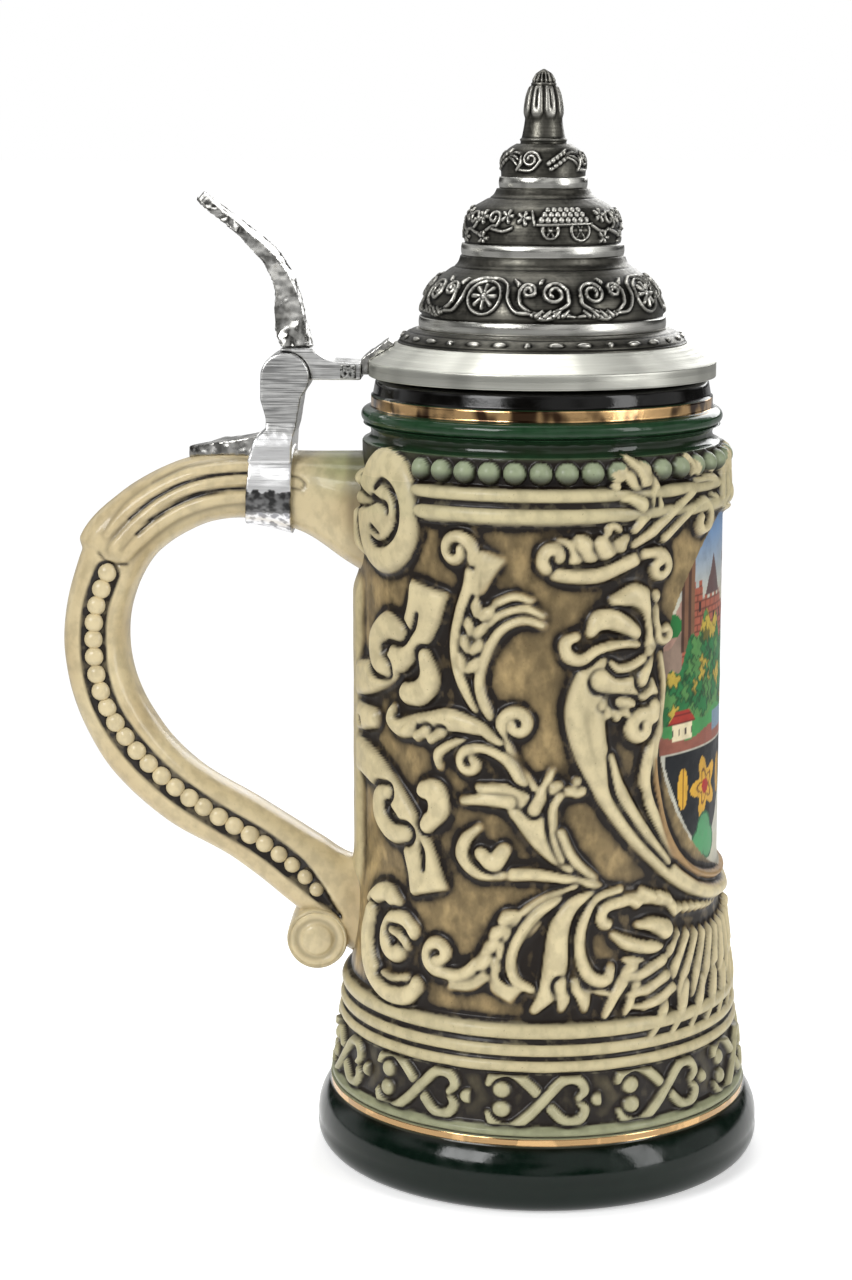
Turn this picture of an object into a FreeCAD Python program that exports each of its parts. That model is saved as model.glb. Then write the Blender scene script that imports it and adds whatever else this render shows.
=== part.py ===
import FreeCAD, Part
import math
import os

# A half-litre relief stein with a hinged, three-tier pewter lid.
# Frame: origin at the centre of the foot's resting face, +Z up the axis,
# the handle towards -X and the painted front panel towards +X.

os.makedirs("parts", exist_ok=True)

V = FreeCAD.Vector

# Driving dimensions, in mm.
LIP_TOP = 174.5
LID_SEAT = 174.7
INNER_R = 34.4
FLOOR_Z = 9.0
BEAD_R = 2.45
BEAD_RING_R = 39.4
BEAD_Z = 157.8
BEAD_COUNT = 46
HANDLE_ROOT_HALF = 15.0
PANEL_R = 39.8
HINGE_X = -55.7
HINGE_Z = 174.5
KNUCKLE_R = 5.3
PIN_R = 2.0
PIN_PLAY = 0.05
HINGE_HALF = 7.5
POST_FOOT_HALF = 9.2
SHANK_RINGS = [(-7.5, -4.55), (-1.45, 1.45), (4.55, 7.5)]
LID_RINGS = [(-4.45, -1.55), (1.55, 4.45)]
BAND_T = 1.3
SHEET_T = 1.8


def turned(start, moves):
    """Solid of revolution about Z. A move is (r, z), or (rm, zm, r, z) for an arc."""
    first = V(start[0], 0, start[1])
    here = first
    edges = []
    for move in moves:
        there = V(move[-2], 0, move[-1])
        if len(move) == 4:
            middle = V(move[0], 0, move[1])
            edges.append(Part.Arc(here, middle, there).toShape())
        else:
            edges.append(Part.makeLine(here, there))
        here = there
    edges.append(Part.makeLine(here, first))
    face = Part.Face(Part.Wire(edges))
    return face.revolve(V(0, 0, 0), V(0, 0, 1), 360)


def swell(z0, z1, r, height):
    """Moves for a rounded ring that stands out of a wall of radius r."""
    return [(r, z0), (r + height, (z0 + z1) / 2, r, z1)]


def smooth(points, closed=False):
    """B-spline edge through (x, y, z) points."""
    curve = Part.BSplineCurve()
    curve.interpolate([V(*p) for p in points], PeriodicFlag=closed)
    return curve.toShape()


def rod(x, z, r, y0, y1):
    """Round bar along Y."""
    return Part.makeCylinder(r, y1 - y0, V(x, y0, z), V(0, 1, 0))


def slab(points, y0, y1):
    """Side profile in X and Z, extruded along Y."""
    ring = [V(x, y0, z) for x, z in points]
    face = Part.Face(Part.makePolygon(ring + ring[:1]))
    return face.extrude(V(0, y1 - y0, 0))


def joined(shapes):
    return shapes[0].multiFuse(shapes[1:]).removeSplitter()


def export(node, shape):
    solid = shape.Solids[0] if len(shape.Solids) == 1 else shape
    print(node, len(shape.Solids), solid.isValid(), round(solid.Volume, 1))
    solid.exportStep("parts/" + node + ".step")


# ---------------------------------------------------------------- stein

FOOT = [(45.5, 0), (49.0, 2.2, 49.7, 6.2), (49.3, 10.6, 47.2, 14.4)]
FOOT += [(46.8, 14.8), (46.9, 16.4)]
FOOT += swell(16.6, 18.4, 46.1, 0.6)
FOOT += [(45.7, 19.0), (44.6, 29.6)]
RAILS = swell(30.2, 32.9, 44.0, 0.9)
RAILS += swell(33.6, 36.4, 43.7, 0.9)
RAILS += swell(37.3, 40.6, 43.3, 1.0)
FIELD = [(42.5, 41.4), (41.6, 54, 41.0, 70), (41.0, 146.6)]
SHOULDER = swell(147.4, 150.7, 40.6, 0.9)
SHOULDER += swell(151.8, 154.6, 40.4, 0.9)
SHOULDER += [(39.2, 155.2), (39.2, 160.6)]
SHOULDER += swell(160.9, 164.5, 39.0, 1.9)
SHOULDER += swell(164.7, 167.9, 37.9, 1.6)
NECK = [(37.3, 168.1), (37.3, 170.5), (36.9, 170.7), (36.4, 173.4)]


def outer_moves():
    return FOOT + RAILS + FIELD + SHOULDER + NECK


def make_stein():
    lip = [(34.5, LIP_TOP, 32.6, 173.4)]
    inside = [(32.8, 168.0), (INNER_R, 158.0), (INNER_R, FLOOR_Z + 7)]
    inside += [(INNER_R - 2, FLOOR_Z + 2, INNER_R - 7, FLOOR_Z), (0, FLOOR_Z)]
    body = turned((0, 0), outer_moves() + lip + inside)
    beads = []
    for i in range(BEAD_COUNT):
        a = 2 * math.pi * (i + 0.5) / BEAD_COUNT
        place = V(BEAD_RING_R * math.cos(a), BEAD_RING_R * math.sin(a), BEAD_Z)
        under_handle = place.x < 0 and abs(place.y) < HANDLE_ROOT_HALF
        if not under_handle:
            beads.append(Part.makeSphere(BEAD_R, place))
    body = body.multiFuse(beads)
    return body.cut(panel_recess())


def panel_recess():
    """Space over the smooth painted panel on the front."""
    oval = Part.Ellipse(V(0, 0, 0), 36.0, 31.0).toShape()
    face = Part.Face(Part.Wire([oval]))
    face.rotate(V(0, 0, 0), V(0, 1, 0), 90)
    face.translate(V(20, 0, 107))
    prism = face.extrude(V(40, 0, 0))
    return prism.cut(Part.makeCylinder(PANEL_R, 200))


def stein_filled():
    """The stein's outline without its hollow, to trim what is luted on."""
    return turned((0, 0), outer_moves() + [(0, 173.4)])


# --------------------------------------------------------------- handle

# Each station: outer edge (x, z), inner edge (x, z), width along Y.
HANDLE = [
    ((-33.0, 158.0), (-33.0, 128.0), 27),
    ((-42.5, 157.6), (-42.5, 133.5), 23),
    ((-52.0, 157.6), (-52.0, 139.8), 19),
    ((-64.0, 157.9), (-63.0, 142.8), 17.5),
    ((-81.0, 155.0), (-73.8, 141.8), 17),
    ((-97.0, 144.2), (-85.3, 134.4), 17),
    ((-105.1, 124.0), (-91.1, 121.8), 16.5),
    ((-104.9, 106.0), (-90.8, 108.6), 16.5),
    ((-97.6, 88.4), (-85.2, 96.6), 15.5),
    ((-84.6, 75.0), (-76.3, 87.0), 15),
    ((-68.5, 65.5), (-62.8, 78.8), 14.5),
    ((-55.2, 55.0), (-49.4, 70.4), 15),
    ((-43.0, 45.0), (-42.0, 66.0), 17),
    ((-33.0, 42.0), (-33.0, 66.0), 20),
]
SCROLL_X = -49.4
SCROLL_Z = 48.6
SCROLL_R = 6.8


def section(outer, inner, width, grow):
    """Rounded section wire between an outer and an inner edge point."""
    centre = V((outer[0] + inner[0]) / 2, 0, (outer[1] + inner[1]) / 2)
    across = V(outer[0] - inner[0], 0, outer[1] - inner[1])
    half = across.Length / 2 + grow
    across.normalize()
    side = V(0, 1, 0)
    points = []
    for i in range(16):
        a = 2 * math.pi * i / 16
        c = math.copysign(abs(math.cos(a)) ** 0.75, math.cos(a))
        s = math.copysign(abs(math.sin(a)) ** 0.75, math.sin(a))
        p = centre + across * (half * c) + side * ((width / 2 + grow) * s)
        points.append((p.x, p.y, p.z))
    return Part.Wire([smooth(points, True)])


def handle_loft(grow):
    wires = [section(o, i, w, grow) for o, i, w in HANDLE]
    return Part.makeLoft(wires, True, False)


def make_handle():
    bar = handle_loft(0)
    curl = rod(SCROLL_X, SCROLL_Z, SCROLL_R, -8.5, 8.5)
    curl = curl.makeFillet(2.0, curl.Edges)
    boss = rod(SCROLL_X, SCROLL_Z, 3.4, -9.4, 9.4)
    boss = boss.makeFillet(0.8, boss.Edges)
    spur = Part.makeCone(4.2, 0.8, 7, V(-97.6, 0, 135.2), V(-1, 0, 0.35))
    whole = joined([bar, curl, boss, spur])
    return whole.cut(stein_filled())


def make_band(handle):
    """Pewter strap that wraps the handle below the hinge."""
    zone = slab([(-63.2, 162), (-54.0, 162), (-54.6, 136), (-65.2, 136)], -15, 15)
    return handle_loft(BAND_T).common(zone).cut(handle)


def make_tang(handle, band):
    """Tongue of the mount that lies back along the top of the handle."""
    side = [(-78.0, 153.0), (-77.5, 158.6), (-70.0, 160.2), (-62.0, 161.4)]
    bar = slab(side + [(-62.0, 153.0)], -6, 6)
    plan = smooth([(-78.0, 0, 140), (-72.0, 3.4, 140), (-62.0, 5.2, 140)])
    back = smooth([(-62.0, -5.2, 140), (-72.0, -3.4, 140), (-78.0, 0, 140)])
    end = Part.makeLine(V(-62.0, 5.2, 140), V(-62.0, -5.2, 140))
    leaf = Part.Face(Part.Wire([plan, end, back])).extrude(V(0, 0, 30))
    return bar.common(leaf).cut(handle).cut(band)


# ---------------------------------------------------------------- hinge

def make_post(handle, band, tang):
    side = [(-64.0, 156.0), (-62.4, 161.0), (-59.9, 163.2), (-59.9, 165.6)]
    side += [(-61.1, 169.8), (-61.0, 174.0), (-50.5, 174.0), (-50.9, 172.4)]
    side += [(-52.3, 170.0), (-53.4, 163.4), (-54.0, 161.6), (-54.4, 156.0)]
    half = [(POST_FOOT_HALF, 156.0), (POST_FOOT_HALF, 160.0), (HINGE_HALF, 164.2), (HINGE_HALF, 174.0)]
    front = half + [(-y, z) for y, z in reversed(half)]
    ring = [V(-70, y, z) for y, z in front]
    flare = Part.Face(Part.makePolygon(ring + ring[:1])).extrude(V(30, 0, 0))
    shapes = [slab(side, -POST_FOOT_HALF, POST_FOOT_HALF).common(flare)]
    for y0, y1 in SHANK_RINGS:
        shapes.append(rod(HINGE_X, HINGE_Z, KNUCKLE_R, y0, y1))
    post = joined(shapes)
    for y0, y1 in LID_RINGS:
        room = rod(HINGE_X, HINGE_Z, KNUCKLE_R + 0.25, y0 - 0.1, y1 + 0.1)
        post = post.cut(room)
    post = post.cut(rod(HINGE_X, HINGE_Z, PIN_R, -6.6, 6.6))
    for other in (handle, band, tang):
        post = post.cut(other)
    return max(post.Solids, key=lambda s: s.Volume)


def make_pin():
    return rod(HINGE_X, HINGE_Z, PIN_R, -6.6, 6.6)


ARM_END = -39.2


def make_arm():
    side = [(-56.8, 180.7), (-49.8, 180.7), (-48.9, 179.6), (-47.4, 178.5), (-45.4, 177.8), (ARM_END, 177.4)]
    side += [(ARM_END, 173.8), (-50.6, 173.8), (-55.7, 174.5)]
    wide = slab(side, -5.6, 5.6)
    shapes = [wide]
    for y0, y1 in LID_RINGS:
        shapes.append(rod(HINGE_X, HINGE_Z, KNUCKLE_R, y0, y1))
    arm = joined(shapes)
    for y0, y1 in SHANK_RINGS:
        room = rod(HINGE_X, HINGE_Z, KNUCKLE_R + 0.2, y0 - 0.1, y1 + 0.1)
        arm = arm.cut(room)
    arm = arm.cut(rod(HINGE_X, HINGE_Z, PIN_R + PIN_PLAY, -9, 9))
    return max(arm.Solids, key=lambda s: s.Volume)


def make_thumblift():
    front = [(-49.8, 180.7), (-51.0, 185.4), (-52.8, 192.5), (-55.8, 198.8), (-59.8, 203.4)]
    front += [(-64.4, 207.2), (-69.0, 211.0), (-73.4, 214.6)]
    back = [(-75.2, 212.8), (-70.6, 208.8), (-66.0, 205.0), (-62.2, 200.8), (-59.6, 197.0)]
    back += [(-58.4, 193.2), (-58.4, 185.6), (-56.8, 180.7)]
    edges = [smooth([(x, -12, z) for x, z in front])]
    edges.append(Part.makeLine(V(front[-1][0], -12, front[-1][1]), V(back[0][0], -12, back[0][1])))
    edges.append(smooth([(x, -12, z) for x, z in back]))
    edges.append(Part.makeLine(V(back[-1][0], -12, back[-1][1]), V(front[0][0], -12, front[0][1])))
    profile = Part.Face(Part.Wire(edges)).extrude(V(0, 24, 0))
    half = [(5.6, 180), (4.2, 188), (6.2, 197), (8.0, 205), (6.4, 211), (0, 215.2)]
    right = [(-80, y, z) for y, z in half]
    left = [(-80, -y, z) for y, z in reversed(half)]
    outline = [smooth(right), smooth(left), Part.makeLine(V(*left[-1]), V(*right[0]))]
    leaf = Part.Face(Part.Wire(outline)).extrude(V(40, 0, 0))
    return profile.common(leaf)


# ------------------------------------------------------------------ lid

CONE_TOP = (31.5, 181.9)
CONE_FOOT = (37.6, 178.1)
RIM_SIDE = [(37.7, LID_SEAT), (37.9, 175.0), (37.9, 177.8)]
BORDER_TOP = (27.4, 184.9)


def lid_filled():
    moves = RIM_SIDE + [CONE_FOOT, CONE_TOP, BORDER_TOP]
    return turned((0, LID_SEAT), moves + [(0, 184.9)])


def make_rim():
    moves = RIM_SIDE + [CONE_FOOT, CONE_TOP]
    moves += [(30.3, 180.6), (34.8, 176.8), (31.9, 176.8)]
    return turned((31.9, LID_SEAT), moves)


def make_flange():
    moves = [(31.9, 172.0), (31.9, 176.8), (30.7, 176.8)]
    return turned((30.7, 172.0), moves)


def make_border():
    moves = [(29.6, 184.0) + BORDER_TOP, (25.2, 184.9), (30.3, 180.6)]
    return turned(CONE_TOP, moves)


def sheet(points, thickness):
    """Turned thin wall: the given outside, and an inside one thickness away."""
    inner = []
    last = len(points) - 1
    for i, (r, z) in enumerate(points):
        a = points[max(i - 1, 0)]
        b = points[min(i + 1, last)]
        dr = b[0] - a[0]
        dz = b[1] - a[1]
        size = math.hypot(dr, dz)
        if i in (0, last):
            inner.append((r - thickness, z))
        else:
            inner.append((r - thickness * dz / size, z + thickness * dr / size))
    edges = [smooth([(r, 0, z) for r, z in points])]
    edges.append(smooth([(r, 0, z) for r, z in reversed(inner)]))
    edges.append(Part.makeLine(V(points[-1][0], 0, points[-1][1]),
                               V(inner[-1][0], 0, inner[-1][1])))
    edges.append(Part.makeLine(V(inner[0][0], 0, inner[0][1]),
                               V(points[0][0], 0, points[0][1])))
    face = Part.Face(Part.Wire(Part.__sortEdges__(edges)))
    return face.revolve(V(0, 0, 0), V(0, 0, 1), 360)


def polished_band(z0, z1, r, wall):
    moves = [(r, z0), (r + 0.35, (z0 + z1) / 2, r, z1), (r - wall, z1)]
    return turned((r - wall, z0), moves)


def make_lower_tier():
    dome = [(26.4, 187.6), (26.1, 190.2), (25.2, 192.8), (23.4, 195.2)]
    dome += [(20.6, 197.4), (18.6, 198.8), (17.8, 200.6)]
    return joined([polished_band(184.9, 187.6, 26.7, SHEET_T + 0.3), sheet(dome, SHEET_T)])


def make_middle_tier():
    dome = [(17.0, 203.2), (16.9, 206.4), (16.3, 209.0), (14.9, 211.0)]
    dome += [(12.6, 212.4), (10.8, 213.5), (10.0, 214.9)]
    return joined([polished_band(200.6, 203.2, 17.5, 2.3), sheet(dome, SHEET_T)])


def make_upper_tier():
    dome = [(9.1, 217.4), (9.15, 219.4), (8.8, 221.4), (7.7, 223.2), (5.8, 224.4)]
    return joined([polished_band(214.9, 217.4, 9.4, 2.4), sheet(dome, SHEET_T)])


def make_finial():
    side = [(5.0, 224.4), (4.5, 226.6), (4.05, 229.4), (3.95, 232.0)]
    side += [(3.5, 234.6), (2.5, 237.0), (1.1, 239.4), (0, 240.2)]
    edges = [smooth([(r, 0, z) for r, z in side])]
    edges.append(Part.makeLine(V(0, 0, 240.2), V(0, 0, 224.4)))
    edges.append(Part.makeLine(V(0, 0, 224.4), V(5.0, 0, 224.4)))
    return Part.Face(Part.Wire(edges)).revolve(V(0, 0, 0), V(0, 0, 1), 360)


def make_tail():
    """Strap that carries the arm over the rim and onto the cone."""
    side = [(ARM_END, 174.9), (ARM_END, 178.2), (-37.8, 179.4), (-33.4, 182.6)]
    side += [(-31.8, 181.6), (-34.0, 175.0)]
    bar = slab(side, -5.0, 5.0)
    return bar.cut(lid_filled())


def make_rosette(y0, y1):
    """Small square boss on the cheek of the arm."""
    block = Part.makeBox(3.4, y1 - y0, 3.0, V(-43.7, y0, 174.2))
    outer_y = y0 if y0 < 0 else y1
    edges = [e for e in block.Edges if all(abs(v.Y - outer_y) < 0.01 for v in e.Vertexes)]
    return block.makeFillet(0.35, edges)


# --------------------------------------------------------------- export

handle = make_handle()
band = make_band(handle)
tang = make_tang(handle, band)

export("stein_body", make_stein())
export("handle", handle)
export("handle_band", band)
export("handle_tang", tang)
export("hinge_post", make_post(handle, band, tang))
export("hinge_pin", make_pin())
export("lid_arm", make_arm())
export("arm_rosette_near", make_rosette(-6.5, -5.6))
export("arm_rosette_far", make_rosette(5.6, 6.5))
export("arm_tail", make_tail())
export("thumblift", make_thumblift())
export("lid_rim", make_rim())
export("lid_flange", make_flange())
export("lid_border", make_border())
export("lid_lower_tier", make_lower_tier())
export("lid_middle_tier", make_middle_tier())
export("lid_upper_tier", make_upper_tier())
export("finial", make_finial())
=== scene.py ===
import math

import bpy
import numpy as np
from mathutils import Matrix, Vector, noise


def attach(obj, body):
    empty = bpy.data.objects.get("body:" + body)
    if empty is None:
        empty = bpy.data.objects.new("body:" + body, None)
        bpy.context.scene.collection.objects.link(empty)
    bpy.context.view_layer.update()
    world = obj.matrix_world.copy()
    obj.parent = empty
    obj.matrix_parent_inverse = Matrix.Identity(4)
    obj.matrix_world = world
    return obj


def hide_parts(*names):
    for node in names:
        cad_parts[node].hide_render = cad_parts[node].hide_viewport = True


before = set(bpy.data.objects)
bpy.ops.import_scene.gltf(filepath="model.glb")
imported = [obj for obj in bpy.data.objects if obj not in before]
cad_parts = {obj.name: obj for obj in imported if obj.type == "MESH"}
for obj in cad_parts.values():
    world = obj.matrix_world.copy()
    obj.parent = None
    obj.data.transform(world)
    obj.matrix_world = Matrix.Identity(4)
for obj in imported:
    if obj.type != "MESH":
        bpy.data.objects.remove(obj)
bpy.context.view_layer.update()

# A relief stein of glazed stoneware with a hinged pewter lid. Lengths in this
# script are millimetres in the part's own frame; MM turns them into metres.
# The stein's front panel faces +X and the handle lies towards -X.

MM = 0.001
SIDE_R = 41.0
QUARTER = SIDE_R * math.pi / 2
AROUND = 720
BEAD_COUNT = 46
BEAD_R = 2.45
BEAD_RING_R = 39.4
BEAD_Z = 157.8
INNER_R = 34.4


# ------------------------------------------------------------ mesh tools

def linear(r, g, b):
    """An sRGB colour, 0 to 255, as linear RGB."""
    c = np.array([r, g, b]) / 255.0
    return np.where(c <= 0.04045, c / 12.92, ((c + 0.055) / 1.055) ** 2.4)


def rgba(r, g, b):
    return tuple(linear(r, g, b)) + (1.0,)


def step(low, high, x):
    """Smooth step from 0 at low to 1 at high."""
    t = np.clip((x - low) / (high - low), 0, 1)
    return t * t * (3 - 2 * t)


def angles(count):
    """Equal steps round a full turn, in radians."""
    return np.arange(count) * 2 * math.pi / count


def travelled(points):
    """Length along a line of points up to each of them."""
    return np.concatenate([[0], np.cumsum(np.hypot(*np.diff(points, axis=0).T))])


def curve(points, spacing=0.35):
    """Smooth curve through points, sampled about every spacing mm, with its 0 to 1 travel."""
    p = np.array(points, float)
    if len(p) == 1:
        return p, np.zeros(1)
    q = np.vstack([2 * p[0] - p[1], p, 2 * p[-1] - p[-2]])
    out = []
    travel = []
    for i in range(len(p) - 1):
        a, b, c, d = q[i:i + 4]
        n = max(2, int(np.hypot(*(c - b)[:2]) / spacing) + 1)
        t = np.linspace(0, 1, n, endpoint=False)[:, None]
        bend = 2 * a - 5 * b + 4 * c - d
        out.append(b + 0.5 * ((c - a) * t + bend * t ** 2 + (3 * b - a - 3 * c + d) * t ** 3))
        travel.append((i + t[:, 0]) / (len(p) - 1))
    out.append(p[-1:])
    travel.append([1.0])
    return np.vstack(out), np.concatenate(travel)


def trace(start, moves, spacing):
    """Outline points; a move is (r, z), or (rm, zm, r, z) for an arc through (rm, zm)."""
    points = [np.array(start, float)]
    for move in moves:
        a = points[-1]
        c = np.array(move[-2:], float)
        if len(move) == 2:
            n = max(1, round(np.hypot(*(c - a)) / spacing))
            points += [a + (c - a) * k / n for k in range(1, n + 1)]
            continue
        b = np.array(move[:2], float)
        ab = b - a
        ac = c - a
        turn = 2 * (ab[0] * ac[1] - ab[1] * ac[0])
        u = (ac[1] * (ab @ ab) - ab[1] * (ac @ ac)) / turn
        v = (ab[0] * (ac @ ac) - ac[0] * (ab @ ab)) / turn
        centre = a + (u, v)
        radius = math.hypot(u, v)
        a0 = math.atan2(-v, -u)
        sweep = (math.atan2(*(c - centre)[::-1]) - a0 + math.pi) % (2 * math.pi) - math.pi
        n = max(2, round(abs(sweep) * radius / spacing))
        for k in range(1, n + 1):
            angle = a0 + sweep * k / n
            points.append(centre + radius * np.array([math.cos(angle), math.sin(angle)]))
    return np.array(points)


def swell(z0, z1, r, height):
    """Moves for trace: a rounded ring of radius r from z0 to z1, proud by height."""
    return [(r, z0), (r + height, (z0 + z1) / 2, r, z1)]


def blur(grid, rows, cols, wrap=True):
    """Gaussian blur of a grid; the sizes are in cells, and the columns may wrap round."""
    pad = int(4 * rows) + 1
    side = 0 if wrap else int(4 * cols) + 1
    g = np.pad(grid, ((pad, pad), (side, side)), mode="edge")
    fz = np.fft.fftfreq(g.shape[0])[:, None]
    fs = np.fft.rfftfreq(g.shape[1])[None, :]
    soft = np.exp(-2 * (math.pi * fz * rows) ** 2 - 2 * (math.pi * fs * cols) ** 2)
    g = np.fft.irfft2(np.fft.rfft2(g) * soft, s=g.shape)
    return g[pad:-pad, side:g.shape[1] - side]


def quads(rows, cols, first=0, wrap_rows=False):
    """Faces of a grid whose columns wrap round, turned so that they look outwards."""
    i = np.arange(rows if wrap_rows else rows - 1)[:, None]
    j = np.arange(cols)[None, :]
    up = (i + 1) % rows
    right = (j + 1) % cols
    faces = np.stack([i * cols + j, i * cols + right, up * cols + right, up * cols + j], -1)
    return faces.reshape(-1, 4) + first


class Skin:
    """Collects grids into one mesh, with colours and masks on their points."""

    def __init__(self):
        self.co = []
        self.faces = []
        self.slots = []
        self.uv = []
        self.masks = []
        self.count = 0

    def add(self, co, masks, faces, slots, corners):
        """Points with their masks, and faces with their slots and the (u, v) of each corner."""
        self.co.append(co)
        self.masks.append(masks)
        self.faces.append(faces)
        self.slots.append(slots)
        self.uv.append(np.stack([np.stack(c, -1) for c in corners], 1))
        self.count += len(co)

    def grid(self, points, masks=None, slots=0, loop=False, v=None):
        """points is rows x columns x 3, masks is rows x columns x 5: colour, level, and the dark wash that
        also carries painted shade.

        The rows close on themselves in a loop; otherwise a fan closes each end.
        """
        rows, cols = points.shape[:2]
        first = self.count
        if masks is None:
            masks = np.zeros((rows, cols, 5))
        bands = rows if loop else rows - 1
        slots = np.broadcast_to(np.asarray(slots), (bands,))
        v = np.linspace(0.01, 0.99, rows) if v is None else v
        u = np.linspace(0, 1, cols + 1)
        i = np.repeat(np.arange(bands), cols)
        j = np.tile(np.arange(cols), bands)
        low = v[i]
        high = v[(i + 1) % rows]
        corners = [(u[j], low), (u[j + 1], low), (u[j + 1], high), (u[j], high)]
        self.add(points.reshape(-1, 3), masks.reshape(-1, 5), quads(rows, cols, first, loop),
                 np.repeat(slots, cols), corners)
        if loop:
            return
        here = np.arange(cols)
        after = (here + 1) % cols
        for row, tip in ((0, 0.0), (rows - 1, 1.0)):
            a, b = (here, after) if tip else (after, here)
            ua, ub = (u[here], u[here + 1]) if tip else (u[here + 1], u[here])
            edge = np.full(cols, v[row])
            base = first + row * cols
            fan = np.stack([base + a, base + b, np.full(cols, self.count)], -1)
            self.add(points[row].mean(0)[None], masks[row].mean(0)[None], fan,
                     np.full(cols, slots[-1 if tip else 0]),
                     [(ua, edge), (ub, edge), ((ua + ub) / 2, np.full(cols, tip))])

    def build(self, name, materials, own_uv=False):
        mesh = bpy.data.meshes.new(name)
        co = np.concatenate(self.co) * MM
        masks = np.concatenate(self.masks)
        sizes = np.concatenate([np.full(len(f), f.shape[1]) for f in self.faces])
        mesh.vertices.add(len(co))
        mesh.vertices.foreach_set("co", co.ravel())
        mesh.loops.add(int(sizes.sum()))
        mesh.loops.foreach_set("vertex_index", np.concatenate([f.ravel() for f in self.faces]))
        mesh.polygons.add(len(sizes))
        mesh.polygons.foreach_set("loop_start", np.concatenate([[0], np.cumsum(sizes)[:-1]]))
        mesh.polygons.foreach_set("material_index", np.concatenate(self.slots))
        mesh.update(calc_edges=True)
        mesh.polygons.foreach_set("use_smooth", np.ones(len(sizes), bool))
        paint = mesh.attributes.new("paint", "FLOAT_COLOR", "POINT")
        paint.data.foreach_set("color", masks[:, :4].ravel())
        wash_and_shade = mesh.attributes.new("wash_and_shade", "FLOAT", "POINT")
        wash_and_shade.data.foreach_set("value", masks[:, 4])
        if own_uv:
            layer = mesh.uv_layers.new(name="OFBake")
            layer.data.foreach_set("uv", np.concatenate([c.reshape(-1, 2) for c in self.uv]).ravel())
        for material in materials:
            mesh.materials.append(material)
        piece = bpy.data.objects.new(name, mesh)
        bpy.context.scene.collection.objects.link(piece)
        return piece


def turned(rz, out=None, around=AROUND):
    """Points of a surface of revolution; out, rows x columns, is added along the normal."""
    phi = angles(around)
    tangent = np.gradient(rz, axis=0)
    size = np.hypot(tangent[:, 0], tangent[:, 1])[:, None] + 1e-9
    normal = np.stack([tangent[:, 1], -tangent[:, 0]], -1) / size
    r = np.repeat(rz[:, :1], around, 1)
    z = np.repeat(rz[:, 1:], around, 1)
    if out is not None:
        r = r + out * normal[:, :1]
        z = z + out * normal[:, 1:]
    return np.stack([-r * np.cos(phi), -r * np.sin(phi), z], -1)


def settle(piece, body, slot, *nodes):
    """Put a finished piece on its body, in the place of its CAD nodes."""
    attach(piece, body)
    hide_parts(*nodes)
    return piece


# ---------------------------------------------------------- relief tools

def spiral(centre, r0, r1, start, turns):
    """Points of a volute that winds in from radius r0 to r1; start in degrees."""
    n = max(6, int(abs(turns) * 10))
    points = []
    for i in range(n + 1):
        t = i / n
        a = math.radians(start) + 2 * math.pi * turns * t
        r = r0 + (r1 - r0) * t ** 0.8
        points.append((centre[0] + r * math.cos(a), centre[1] + r * math.sin(a)))
    return points


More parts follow.
